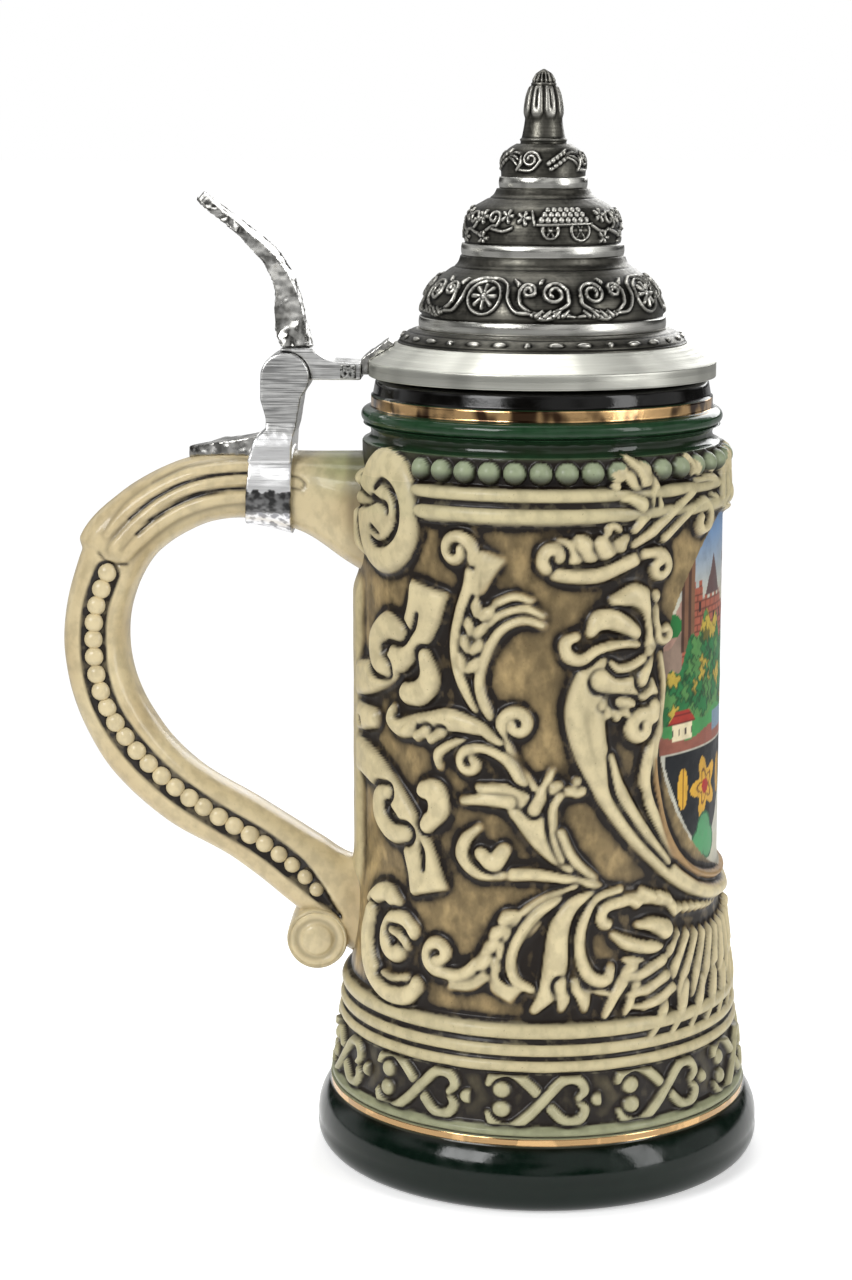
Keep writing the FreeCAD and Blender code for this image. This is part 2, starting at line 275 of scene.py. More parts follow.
class Field:
    """Heights over a flat sheet: s across and z up, all in mm."""

    def __init__(self, s0, s1, z0, z1, cell=0.25, fat=1.0):
        self.fat = fat
        self.s = np.linspace(s0, s1, int(round((s1 - s0) / cell)) + 1)
        self.z = np.linspace(z0, z1, int(round((z1 - z0) / cell)) + 1)
        self.h = np.zeros((len(self.z), len(self.s)))

    def near(self, points, widths, margin=0.0, flat=False):
        """Window of cells near a curve, with their distance over its width and gap outside it."""
        p, t = curve(points)
        w = np.interp(t, np.linspace(0, 1, len(widths)), widths) * self.fat
        reach = w.max() + margin
        i0, i1 = np.searchsorted(self.s, [p[:, 0].min() - reach, p[:, 0].max() + reach])
        j0, j1 = np.searchsorted(self.z, [p[:, 1].min() - reach, p[:, 1].max() + reach])
        window = (slice(max(j0 - 1, 0), j1 + 1), slice(max(i0 - 1, 0), i1 + 1))
        s, z = np.meshgrid(self.s[window[1]], self.z[window[0]])
        ratio = np.full(s.shape, 1e9)
        gap = np.full(s.shape, 1e9)
        travel = np.zeros(s.shape)
        for (x, y), wi, ti in zip(p, w, t):
            d = np.hypot(s - x, z - y)
            q = d / max(wi, 0.05)
            closer = q < ratio
            ratio[closer] = q[closer]
            travel[closer] = ti
            gap = np.minimum(gap, d - wi)
        if flat:
            ahead = p[-1] - p[-3]
            past = (s - p[-1, 0]) * ahead[0] + (z - p[-1, 1]) * ahead[1] > 0
            ratio[past & (travel > 0.97)] = 9.0
        return window, ratio, gap

    def stroke(self, points, widths, height=2.0, sharp=2.4, channel=0.0, moat=0.9, floor=0.15, flat=False):
        """Raised ribbon with rounded edges; a moat outlines it on what it crosses."""
        window, q, gap = self.near(points, widths, moat, flat)
        h = self.h[window]
        ring = (q >= 1) & (gap < moat)
        fade = np.clip(gap / max(moat, 0.01), 0, 1) ** 2
        h[ring] = np.minimum(h[ring], floor + (h[ring] - floor) * fade[ring])
        body = height * (1 - np.clip(q, 0, 1) ** sharp) ** 0.62
        if channel:
            body = body - channel * np.exp(-(q / 0.42) ** 2)
        inside = q < 1
        h[inside] = np.maximum(body[inside], np.minimum(h[inside], 0.25 * height))
        self.h[window] = h

    def incise(self, points, widths, depth=1.0):
        """Groove that may go below the ground."""
        window, q = self.near(points, widths)[:2]
        self.h[window] -= depth * np.clip(1 - q ** 2, 0, 1)

    def groove(self, points, widths, depth=1.0):
        """Groove that stops at the ground."""
        window, q = self.near(points, widths)[:2]
        h = self.h[window]
        self.h[window] = np.maximum(h - depth * np.clip(1 - q ** 2, 0, 1), np.minimum(h, 0.0))

    def boss(self, centre, radius, height=2.0, moat=0.8, sharp=2.2):
        self.stroke([centre], [radius], height, sharp, moat=moat)

    def soften(self, size):
        """Blur the sheet by size mm, so that no edge shows the cells."""
        cells = size / (self.s[1] - self.s[0])
        self.h = blur(self.h, cells, cells, wrap=False)
        return self

    def at(self, s, z):
        """Heights at given places, by linear interpolation."""
        x = np.clip((s - self.s[0]) / (self.s[1] - self.s[0]), 0, len(self.s) - 1.001)
        y = np.clip((z - self.z[0]) / (self.z[1] - self.z[0]), 0, len(self.z) - 1.001)
        i = x.astype(int)
        j = y.astype(int)
        x = x - i
        y = y - j
        low = self.h[j, i] * (1 - x) + self.h[j, i + 1] * x
        high = self.h[j + 1, i] * (1 - x) + self.h[j + 1, i + 1] * x
        return low * (1 - y) + high * y


def volute(f, tail, centre, r, start, turns, width=1.5, height=2.1, **more):
    """A stem that ends in a wound scroll; tail leads up to the start of the winding."""
    wind = spiral(centre, r, r * 0.28, start, turns)
    half = len(wind) // 2
    widths = [width] * (len(tail) + half) + [width * 0.9] * (len(wind) - half)
    f.stroke(list(tail) + wind, widths, height, **more)


def grain(f, x, z, angle, size=2.0, height=2.1):
    """One barley grain."""
    dx = math.cos(math.radians(angle)) * size
    dz = math.sin(math.radians(angle)) * size
    f.stroke([(x - dx, z - dz), (x, z), (x + dx, z + dz)], [0.35, 0.62 * size, 0.2],
             height, 2.0, moat=0.5, floor=0.8)


def ear(f, spine, rows, size=2.2, side=1.35):
    """Two rows of grains along a spine curve."""
    p = curve(spine)[0]
    for i in range(rows):
        k = int((i + 0.5) / rows * (len(p) - 1))
        d = p[min(k + 2, len(p) - 1)] - p[max(k - 2, 0)]
        a = math.atan2(d[1], d[0])
        nx = -math.sin(a)
        nz = math.cos(a)
        for sgn in (1, -1):
            grain(f, p[k][0] + sgn * side * nx, p[k][1] + sgn * side * nz,
                  math.degrees(a) + sgn * 24, size)


def awns(f, spine, count, spread, width=0.56, height=1.8):
    """Parallel bristles that follow a spine and fan by spread."""
    p = np.array(spine, float)
    d = p[-1] - p[0]
    n = np.array([-d[1], d[0]]) / np.hypot(*d)
    for i in range(count):
        k = (i / (count - 1) - 0.5) * 2
        grow = np.linspace(0.25, 1, len(p))[:, None]
        f.stroke(p + n * k * spread * grow, [width, width, width * 0.6], height, 2.0,
                 moat=0.3, floor=0.7)


# How a small lobe sits on the leaf, or on the rail, that it grows from.
ON_LEAF = dict(moat=0.4, floor=1.0)
ON_RAIL = dict(moat=0.35, floor=1.4)


def side_relief(f):
    """The ornament of one side, from the handle (negative s) to the front panel."""
    st = f.stroke
    # ribbon scrolls beside the handle
    st([(-62, 92), (-52, 92.6), (-43, 90.8), (-36, 86.4), (-30.5, 80.5), (-27, 73.5), (-25, 66.8)],
       [4.2, 4.0, 3.6, 3.4, 3.6, 4.2, 4.6], 2.3, 6, flat=True)
    st([(-62, 108), (-52, 109.4), (-43, 111.6), (-35.5, 115.6), (-30, 121), (-26.6, 127), (-25.2, 133)],
       [4.2, 3.8, 3.4, 3.2, 3.8, 4.4, 4.8], 2.3, 6, flat=True)
    st([(-33, 122.5), (-38, 123), (-42, 119.6), (-41.4, 115.4), (-38, 114)],
       [2.2, 3.0, 3.0, 2.8, 2.0], 2.2, 4)
    f.groove([(-38.5, 118.6), (-36.8, 118.2)], [0.9, 0.6], 2.2)
    st([(-26, 118.4), (-24.8, 113.6), (-27.2, 110.2), (-31, 109.6)], [1.6, 2.6, 2.8, 2.4], 2.2, 4)
    f.groove([(-33, 113), (-30.6, 112.8), (-30.4, 114.6)], [0.9, 0.8, 0.4], 2.0)
    f.groove([(-27.4, 127.4), (-28.6, 124), (-30.8, 121)], [0.35, 0.7, 0.35], 2.0)
    st([(-31, 78.8), (-36, 78.4), (-40.2, 81.2), (-40.4, 85.4), (-37, 87)],
       [2.0, 2.4, 2.6, 2.4, 1.6], 2.2, 4)
    f.groove([(-37.4, 84.2), (-33.8, 82)], [0.9, 0.5], 2.2)
    st([(-25.4, 81.6), (-22.6, 85.6), (-23.4, 89), (-26.4, 89)], [1.8, 2.6, 2.6, 1.8], 2.2, 4)
    f.groove([(-28.2, 86.2), (-26, 86.4), (-25.4, 84.6)], [0.8, 0.8, 0.4], 2.0)
    f.groove([(-27.4, 79), (-26, 75.6), (-25.6, 71.6)], [0.3, 0.65, 0.3], 2.0)
    st([(-56, 101), (-50, 101.4), (-44, 102)], [3.4, 3.2, 2.2], 2.2, 4)
    f.groove([(-51.6, 100.2), (-50, 100.2)], [1.1, 0.9], 2.4)
    # big rolled scroll beside the handle's upper root
    st([(-58, 146), (-50, 146.5), (-44, 146.5)], [7.5, 8.5, 9.5], 2.4, 7)
    st([(-39.6, 146.2), (-39.6, 149.2)], [10.8, 10.8], 2.6, 7, moat=0)
    f.groove([(-41.8, 152.2), (-39, 154.2), (-35.4, 152.8), (-33.2, 148.8), (-33.8, 144.4), (-37, 141.4),
              (-40.6, 140.8), (-42.8, 142.2)], [0.4, 0.8, 0.75, 0.65, 0.7, 0.75, 0.7, 0.25], 2.3)
    f.groove([(-42.6, 150.6), (-39.4, 150), (-36.8, 149.4), (-35.9, 147.2)], [0.8, 0.5, 0.6, 0.25], 1.9)
    f.groove([(-42.4, 144.2), (-40.2, 143.2), (-38.6, 142.9)], [0.6, 0.5, 0.2], 1.7)
    f.groove([(-60, 149.4), (-50, 149.6), (-45, 149.4), (-41, 149.8)], [3.4, 2.4, 1.5, 0.4], 2.4)
    # scroll below it, beside the foot of the handle
    st([(-45, 60.6), (-41, 63.4), (-37, 64.4), (-34.4, 62.6)], [1.6, 2.0, 2.0, 2.0], 2.2, 4)
    st([(-43.6, 59), (-44.6, 53), (-42, 47), (-36, 43.4), (-30, 43.2), (-27.4, 45.8)],
       [2.0, 2.6, 2.6, 2.4, 2.2, 2.0], 2.3, 4)
    volute(f, [(-29.4, 57.6), (-32, 59.4)], (-33.4, 54), 5.2, 110, 0.62, 2.1, 2.2)
    st([(-35.6, 56.6), (-32, 56), (-30, 53.6)], [0.9, 1.5, 0.6], 1.9)
    f.groove([(-35, 57.4), (-32, 57.2), (-30.6, 55)], [0.3, 0.5, 0.3], 1.4)
    st([(-38, 46.6), (-34, 46.2), (-29.6, 47.2)], [0.5, 0.8, 0.8], 1.8)
    # upper barley stalk
    st([(-14.4, 139.6), (-15.4, 134), (-17.4, 128), (-18.5, 121.5), (-17.4, 115), (-14.2, 109.4),
        (-9.6, 104), (-5.8, 98)], [1.5, 1.35, 1.25, 1.25, 1.3, 1.4, 1.4, 1.4], 2.0)
    volute(f, [(-14.4, 139.6)], (-18.3, 141.3), 3.9, 8, 1.05, 1.25, 2.2)
    awns(f, [(-13.2, 132.4), (-12, 137), (-10, 140.8)], 5, 2.4)
    st([(0.8, 126.2), (-3.6, 127.4), (-8.4, 125), (-11.6, 119.6), (-13, 113.6), (-11.4, 108.4),
        (-8.2, 103.6)], [0.5, 0.9, 1.0, 1.1, 1.1, 1.1, 1.0], 1.9)
    st([(0.9, 128.2), (-3.4, 129.8), (-8.6, 128.2), (-12, 124.6)], [0.4, 0.8, 0.9, 0.7], 1.9, moat=0.5)
    st([(-1.6, 131.4), (-5.4, 132.2), (-9.4, 130.6)], [0.4, 0.8, 0.8], 1.8, moat=0.5)
    ear(f, [(-15.8, 116), (-14.8, 121), (-13.6, 126), (-11.6, 131)], 4)
    # middle volute, long leaf and hooks
    volute(f, [(2, 88), (-2.6, 93), (-6, 98), (-8, 103)], (-4.7, 105.1), 3.3, 165, -1.0, 1.25, 2.2)
    st([(-8.6, 101), (-13, 104), (-20, 105), (-28, 103), (-33.4, 101.6), (-36.4, 103), (-36, 105.4)],
       [1.0, 1.9, 2.5, 2.5, 1.9, 1.4, 0.9], 2.2, 3)
    for x, z in ((-32.2, 100.8), (-28.4, 100.4), (-24.6, 100.2)):
        st([(x + 3, z + 2), (x, z)], [1.5, 0.9], 2.1, **ON_LEAF)
    f.groove([(-30, 102), (-24, 103.8), (-17, 103.6)], [0.2, 0.4, 0.2], 0.8)
    st([(-12.6, 101.4), (-18.4, 100.4), (-22.6, 97.6), (-22.4, 94.8)], [0.5, 1.0, 1.2, 0.7], 2.0)
    volute(f, [(-3.4, 92), (-6.6, 97.2), (-11, 99.6)], (-14.8, 96.4), 3.2, 80, 0.95, 1.1, 2.1)
    # leaf fork
    st([(12, 71), (6, 75.6), (1, 81), (-3.4, 87.4), (-7, 91)], [0.8, 1.9, 2.8, 3.2, 1.6], 2.2, 3)
    st([(-2, 88.4), (-7.4, 90.6), (-13, 91.2)], [2.0, 1.6, 0.8], 2.1, **ON_LEAF)
    st([(-6, 88.6), (-11.6, 88.8), (-16.6, 88)], [1.6, 1.4, 0.7], 2.1, **ON_LEAF)
    f.groove([(5, 74.8), (0, 80), (-4, 85.6)], [0.25, 0.45, 0.2], 0.9)
    st([(-1, 87), (1, 91), (3, 95.6)], [1.6, 1.2, 0.3], 2.1, moat=0.5)
    f.boss((3.9, 91.2), 1.8, 2.1)
    volute(f, [(5, 89.8)], (8.6, 92.4), 2.4, 215, 0.8, 0.9, 2.0)
    st([(5.2, 76), (3.4, 81), (3, 87), (4.6, 90)], [0.7, 1.0, 0.9, 0.7], 2.0)
    st([(12.6, 71.2), (7.4, 76.4), (4.8, 82)], [0.7, 1.0, 0.8], 2.0)
    # claw bud
    st([(14, 69.6), (8, 71.4), (0, 72.8), (-8, 72.6)], [0.7, 1.0, 1.2, 1.3], 2.0)
    st([(-8, 72.8), (-13, 73), (-16.4, 76), (-15.8, 79.6), (-12.8, 82.6)],
       [1.2, 1.6, 1.7, 1.3, 0.4], 2.2, 3)
    st([(-12.6, 76.6), (-9.6, 75.4), (-7.4, 77.8)], [1.6, 2.3, 1.4], 2.2)
    f.groove([(-14.4, 79), (-14, 76.6), (-12.4, 74.4)], [0.25, 0.5, 0.2], 1.2)
    f.groove([(-10.4, 77.6), (-8.8, 76)], [0.3, 0.2], 0.9)
    # lower barley stalk
    volute(f, [(8, 69.4), (2, 67.2), (-4, 63), (-8.6, 58), (-12.6, 53), (-16.6, 50)], (-21.9, 53.8),
           3.9, 290, -1.1, 1.3, 2.1)
    for k in (1, 2):
        d = 1.25 * k
        st([(4, 67.6 - 0.4 * d), (-3 + 0.5 * d, 62.4 - d), (-8 + 0.6 * d, 56.6 - d), (-13.4, 50.6 - d),
            (-19, 48.8 - 0.7 * d)], [0.4, 0.55, 0.6, 0.6, 0.35], 1.7, moat=0.4)
    ear(f, [(-4.4, 64), (-7, 60), (-9, 55.6), (-10.8, 51)], 4)
    st([(9, 68.6), (2, 66), (-2.6, 61.6), (-5.4, 55.6), (-4.8, 50.4), (-0.6, 47.8)],
       [0.7, 1.0, 1.1, 1.1, 1.1, 0.8], 2.0)
    awns(f, [(-9.4, 51.4), (-8.4, 48.6), (-4.4, 46.6)], 4, 1.5)
    # plume over the rails
    st([(14, 68.6), (8, 66.8), (4.8, 62), (4, 55), (2.8, 48.6), (-0.6, 43.6)],
       [0.8, 1.5, 2.2, 2.6, 2.4, 0.6], 2.3, 3)
    for tip, root in (((4.9, 43.6), (5, 49)), ((9.8, 43.4), (8.4, 49)), ((14.8, 46.6), (11, 49.4))):
        st([root, ((tip[0] + root[0]) / 2 + 0.4, (tip[1] + root[1]) / 2), tip], [2.0, 1.5, 0.4], 2.1,
           moat=0.5, floor=0.9)
    st([(18.4, 68.8), (12.6, 67), (9.4, 62), (8.8, 56), (10.8, 50.8), (14.4, 49.6), (15.8, 52)],
       [0.6, 1.0, 1.2, 1.3, 1.5, 1.4, 0.8], 2.1)
    f.groove([(6.4, 53), (6.6, 49), (5.8, 46)], [0.2, 0.4, 0.2], 1.0)
    # crest leaf and fan of long leaves at the lower front
    volute(f, [(33, 62), (30, 64.8), (23, 66.4), (17, 66)], (15.4, 62.4), 3.0, 110, 0.36, 1.3, 2.2)
    for x, z in ((20, 67), (24, 68), (28.5, 66.6)):
        st([(x - 0.6, z), (x + 2.2, z - 1.6)], [0.7, 1.2], 2.2, **ON_LEAF)
    fan(f)
    # crested plume beside the panel
    plume(f)
    bracket(f)
    frame_edge(f)


def fan(f):
    """A wing of long feathers that spreads from under the crest across the rails."""
    st = f.stroke
    for i in range(13):
        t = i / 12
        x0 = 27 + 37 * t
        z0 = 58.6 - 3.2 * math.sin(math.pi * t * 0.9)
        x1 = x0 - 13 + 17 * t
        z1 = 41.6 + 1.5 * t
        bend = -2.4 + 3.0 * t
        middle = ((x0 + x1) / 2 + bend, (z0 + z1) / 2 - 1.2)
        st([(x0, z0), middle, (x1, z1)], [0.8, 1.65, 0.45], 2.2, 2.2, moat=0.35, floor=0.8)
    for i in range(8):
        x = 26 + 5.6 * i
        st([(x + 3.4, 46), (x + 1.6, 41), (x - 1.4, 36.6), (x - 4.6, 34.2)], [1.0, 1.5, 1.1, 0.3], 2.2, 2.2,
           **ON_LEAF)
    for x, z in ((18.6, 53.4), (18.2, 49.6), (18.8, 46), (20.4, 43)):
        st([(x + 10, z + 2.6), (x + 4.6, z + 0.4), (x, z)], [1.5, 1.3, 0.35], 2.1, 2.2, moat=0.4, floor=0.7)
    st([(16.4, 59.2), (20, 56.8), (26, 55.4), (31, 57)], [0.6, 1.5, 1.6, 0.8], 2.2)
    st([(22.4, 60.6), (26, 60.2), (29.4, 58.6)], [0.6, 1.6, 2.3], 2.5)
    for i in range(14):
        f.boss((34 + 2.3 * i, 62.4 - 1.4 * math.sin(math.pi * i / 14)), 1.15, 2.0, 0.3)


def plume(f):
    """Scrolls and curled leaves that rise beside the panel."""
    st = f.stroke
    st([(12.5, 115), (10, 108), (11, 100), (14.4, 92), (20, 83.4), (27, 75.4), (35, 68.6), (46, 63.6),
        (64, 61)], [4.6, 4.4, 3.6, 3.2, 2.8, 2.3, 2.0, 1.6, 1.4], 2.4, 3, channel=0.5)
    st([(23, 112.6), (26.4, 108), (27.4, 102), (25, 97.6), (24, 91), (27, 83), (33, 74.6), (42, 68)],
       [3.0, 1.6, 1.4, 1.2, 1.3, 1.3, 1.1, 0.8], 2.2, 3)
    st([(15.6, 98), (18, 90), (24, 81), (31, 73)], [0.6, 1.5, 1.3, 0.6], 2.0, 3)
    volute(f, [(25.8, 108)], (22.6, 103.6), 3.6, 35, 1.0, 1.7, 2.4)
    f.groove([(18, 99), (20, 98), (22.6, 98.4)], [0.9, 1.0, 0.9], 2.2)
    f.groove([(20.4, 90), (22.8, 89.6), (23.6, 85)], [0.3, 0.8, 0.3], 1.8)
    for a in (200, 235, 270, 305, 340):
        c = math.cos(math.radians(a))
        s = math.sin(math.radians(a))
        st([(16.8 + c, 110.4 + s), (16.8 + 3.8 * c, 110.4 + 4.2 * s)], [1.7, 0.9], 2.5,
           moat=0.45, floor=1.2)
    st([(13, 114.4), (17, 113.6), (21, 113)], [2.6, 2.4, 2.2], 2.5, 3, moat=0.4, floor=1.2)
    # curled leaf crown
    st([(22.6, 113.6), (24.4, 119), (25.6, 124.6), (24.6, 129.4), (20.6, 132), (16.2, 131)],
       [1.4, 1.6, 1.9, 2.4, 2.4, 1.4], 2.4, 3)
    st([(20.6, 124), (16.4, 127), (12.8, 127), (10.8, 124.6)], [1.8, 2.3, 2.2, 1.0], 2.3, 3)
    st([(22, 121.4), (17.8, 121.9), (12.6, 121), (9, 119), (6.2, 119.8), (5.4, 122.6), (7.8, 123.8)],
       [0.5, 0.9, 1.0, 1.3, 1.4, 1.1, 0.8], 2.3)
    st([(24, 119), (20.4, 117), (17, 116.6), (15.4, 118)], [0.8, 1.0, 1.1, 0.6], 2.0)
    f.groove([(17.6, 129.2), (19.6, 128), (22.6, 126.4)], [0.3, 0.5, 0.3], 1.4)
    f.groove([(12.2, 125), (16, 124.2), (20, 124)], [0.3, 0.4, 0.3], 1.0)
    volute(f, [(26, 130.4), (26.2, 126.4)], (28.9, 123.4), 2.6, 150, 0.95, 0.85, 2.0)
    f.boss((26.2, 131.4), 1.3, 1.9)
    f.boss((24.6, 119.8), 0.9, 2.2)


def bracket(f):
    """Leaves and scrolls over the panel's upper corner, some of them across the rails."""
    st = f.stroke
    # leaf over the rails
    st([(16.6, 141.4), (20.4, 143.4), (23.6, 147), (24.2, 152), (22.4, 156.4), (19.4, 159.4)],
       [0.8, 2.2, 3.2, 3.6, 2.9, 0.8], 2.7, 3)
    st([(22, 155), (18.6, 157), (15.4, 157.6)], [2.2, 1.6, 0.4], 2.7, **ON_RAIL)
    st([(23, 156), (21.4, 158.6), (18.2, 161.2)], [1.8, 1.3, 0.3], 2.7, **ON_RAIL)
    st([(22.4, 151), (19, 152.6), (17, 152.2)], [2.0, 1.4, 0.5], 2.6, **ON_RAIL)
    f.groove([(18, 142.6), (22, 145.8), (24, 150.4), (23, 155)], [0.2, 0.45, 0.45, 0.2], 1.1)
    f.boss((16.2, 155), 1.35, 2.4)
    st([(26.6, 152.6), (27, 149.6), (25, 146.4)], [0.5, 1.1, 0.6], 2.3)
    volute(f, [(16.4, 142.4), (17.4, 144.6)], (15, 145.6), 2.0, 5, 0.7, 0.85, 2.2)
    # lobed leaf on the scroll
    st([(2.4, 140.2), (7, 139.9), (12, 140.2), (16, 141.8), (18.4, 143.6)],
       [2.2, 3.0, 3.2, 2.4, 1.4], 2.3, 3)
    for x, z, lean in ((5.4, 142.6, -1.2), (9.2, 143.4, -0.6), (13, 143.2, 0.4)):
        st([(x + 1.4, z - 2.4), (x, z - 0.4), (x - 0.6 + lean, z + 0.8)], [1.9, 2.1, 1.1], 2.4, 2.6,
           moat=0.25, floor=1.7)
    # long scroll
    st([(1.2, 138.4), (5, 136.9), (12, 136.8), (18, 138.8), (23, 140.6)], [1.5, 1.5, 1.7, 1.7, 1.5], 2.3)
    volute(f, [(23, 140.6)], (26.8, 137.6), 3.2, 100, -1.05, 1.2, 2.3)
    volute(f, [(1.2, 138.4)], (3.2, 140.6), 2.9, 205, -0.62, 1.3, 2.2)
    # rising leaf and panel-top scroll
    st([(20, 142.6), (26, 146), (32, 149.6), (37, 153), (37.4, 157.4), (35.4, 160)],
       [0.8, 1.7, 1.6, 1.5, 1.2, 0.8], 2.3)
    volute(f, [(28, 143.6), (34, 147.6), (39, 150)], (41, 146.2), 4.0, 80, -0.85, 1.2, 2.2)
    st([(38, 154.8), (45, 154.6), (52, 151.6), (60, 149)], [0.8, 1.5, 1.5, 1.0], 2.1)
    st([(44, 151.4), (50, 149.6), (56, 147.4), (64, 146.6)], [0.6, 1.3, 1.2, 1.0], 2.0)
    for k in range(4):
        x = 50.5 + 4.2 * k
        st([(x, 150), (x + 0.4, 154), (x + 1.6 - 0.5 * k, 158.4 + 0.5 * k)], [1.5, 1.9, 0.6], 2.4, moat=0.5)
    f.boss((FRONT_S, 149.6), 3.2, 2.6)


FRAME_EDGE = [(27.8, 119), (28.8, 112), (27.8, 104), (26.6, 96), (27.8, 88), (30.4, 80), (35, 73.2),
              (42, 68.6), (52, 66), (66, 65.4)]


def frame_edge(f):
    """Raised rim of the painted panel."""
    f.stroke(FRAME_EDGE, [0.5, 0.6, 0.6, 0.7, 0.7, 0.7, 0.8, 0.8, 0.8, 0.8], 1.7, moat=0.4)


def gilt_mask():
    """Where the brown gilding runs along the panel's rim."""
    f = Field(0, QUARTER, 60, 125, 0.5)
    window, ratio = f.near(FRAME_EDGE[3:], [0.6, 1.3, 1.7, 1.9, 2.1, 2.1, 2.1], 1.0)[:2]
    f.h[window] = step(1.25, 0.8, ratio)
    return f


# ------------------------------------------------------------- materials

class Nodes:
    """Short names for building a node tree around one Principled shader."""

    def __init__(self, name, **sockets):
        self.material = bpy.data.materials.new(name)
        self.material.use_nodes = True
        self.tree = self.material.node_tree
        self.bsdf = self.tree.nodes["Principled BSDF"]
        for socket, value in sockets.items():
            self.bsdf.inputs[socket.replace("_", " ")].default_value = value

    def add(self, kind, **values):
        node = self.tree.nodes.new(kind)
        for key, value in values.items():
            setattr(node, key, value)
        return node

    def link(self, source, target):
        self.tree.links.new(source, target)

    def place(self):
        return self.add("ShaderNodeTexCoord").outputs["Object"]

    def split(self, vector):
        node = self.add("ShaderNodeSeparateXYZ")
        self.link(vector, node.inputs[0])
        return node.outputs

    def cloud(self, vector, scale, detail, roughness=0.5):
        node = self.add("ShaderNodeTexNoise")
        for socket, value in (("Scale", scale), ("Detail", detail), ("Roughness", roughness)):
            node.inputs[socket].default_value = value
        self.link(vector, node.inputs["Vector"])
        return node.outputs["Fac"]

    def noise(self, size, detail=3.0, roughness=0.5):
        """Noise whose grain is size mm along X, Y and Z."""
        scale = self.add("ShaderNodeMapping")
        scale.inputs["Scale"].default_value = [1 / (MM * s) for s in size]
        self.link(self.place(), scale.inputs["Vector"])
        return self.cloud(scale.outputs["Vector"], 1.0, detail, roughness)

    def turned_noise(self, size, detail=2.0):
        """Noise in rings round Z, size mm apart, as a lathe leaves them."""
        place = self.split(self.place())
        flat = self.add("ShaderNodeCombineXYZ")
        self.link(place["X"], flat.inputs["X"])
        self.link(place["Y"], flat.inputs["Y"])
        length = self.add("ShaderNodeVectorMath", operation="LENGTH")
        self.link(flat.outputs[0], length.inputs[0])
        join = self.add("ShaderNodeCombineXYZ")
        self.link(length.outputs["Value"], join.inputs["X"])
        self.link(place["Z"], join.inputs["Y"])
        return self.cloud(join.outputs[0], 1 / (MM * size), detail)

    def fan_noise(self, scale):
        """Noise that changes only with the direction from the Z axis."""
        flat = self.add("ShaderNodeVectorMath", operation="MULTIPLY")
        flat.inputs[1].default_value = (1, 1, 0)
        unit = self.add("ShaderNodeVectorMath", operation="NORMALIZE")
        self.link(self.place(), flat.inputs[0])
        self.link(flat.outputs[0], unit.inputs[0])
        return self.cloud(unit.outputs[0], scale, 1.0)

    def sum(self, operation, a, b, clamp=False):
        node = self.add("ShaderNodeMath", operation=operation, use_clamp=clamp)
        for i, value in enumerate((a, b)):
            if isinstance(value, (int, float)):
                node.inputs[i].default_value = value
            else:
                self.link(value, node.inputs[i])
        return node.outputs[0]

    def span(self, value, low, high, a=0.0, b=1.0):
        """Map low to high onto a to b, smoothly and clamped."""
        node = self.add("ShaderNodeMapRange", interpolation_type="SMOOTHSTEP")
        self.link(value, node.inputs["Value"])
        for socket, number in (("From Min", low), ("From Max", high), ("To Min", a), ("To Max", b)):
            node.inputs[socket].default_value = number
        return node.outputs["Result"]

    def mix(self, factor, a, b, blend="MIX"):
        node = self.add("ShaderNodeMix", data_type="RGBA", blend_type=blend)
        sockets = [s for s in node.inputs if s.type == "RGBA"]
        fac = node.inputs[0]
        if isinstance(factor, (int, float)):
            fac.default_value = factor
        else:
            self.link(factor, fac)
        for socket, value in zip(sockets, (a, b)):
            if isinstance(value, tuple):
                socket.default_value = value
            else:
                self.link(value, socket)
        return [s for s in node.outputs if s.type == "RGBA"][0]

    def mask(self, name):
        return self.add("ShaderNodeAttribute", attribute_name=name).outputs

    def finish(self, colour, grain, smooth, rough, relief, strength, distance):
        """Connect the colour, a roughness that follows grain and a fine bump; give the material."""
        self.link(colour, self.bsdf.inputs["Base Color"])
        self.link(self.span(grain, 0.3, 0.7, smooth, rough), self.bsdf.inputs["Roughness"])
        bump = self.add("ShaderNodeBump")
        bump.inputs["Strength"].default_value = strength
        bump.inputs["Distance"].default_value = distance * MM
        self.link(relief, bump.inputs["Height"])
        self.link(bump.outputs["Normal"], self.bsdf.inputs["Normal"])
        return self.material


def grey(value):
    return (value, value, value, 1.0)


def dimmed(colour, share):
    return tuple(c * share for c in colour[:3]) + (1.0,)


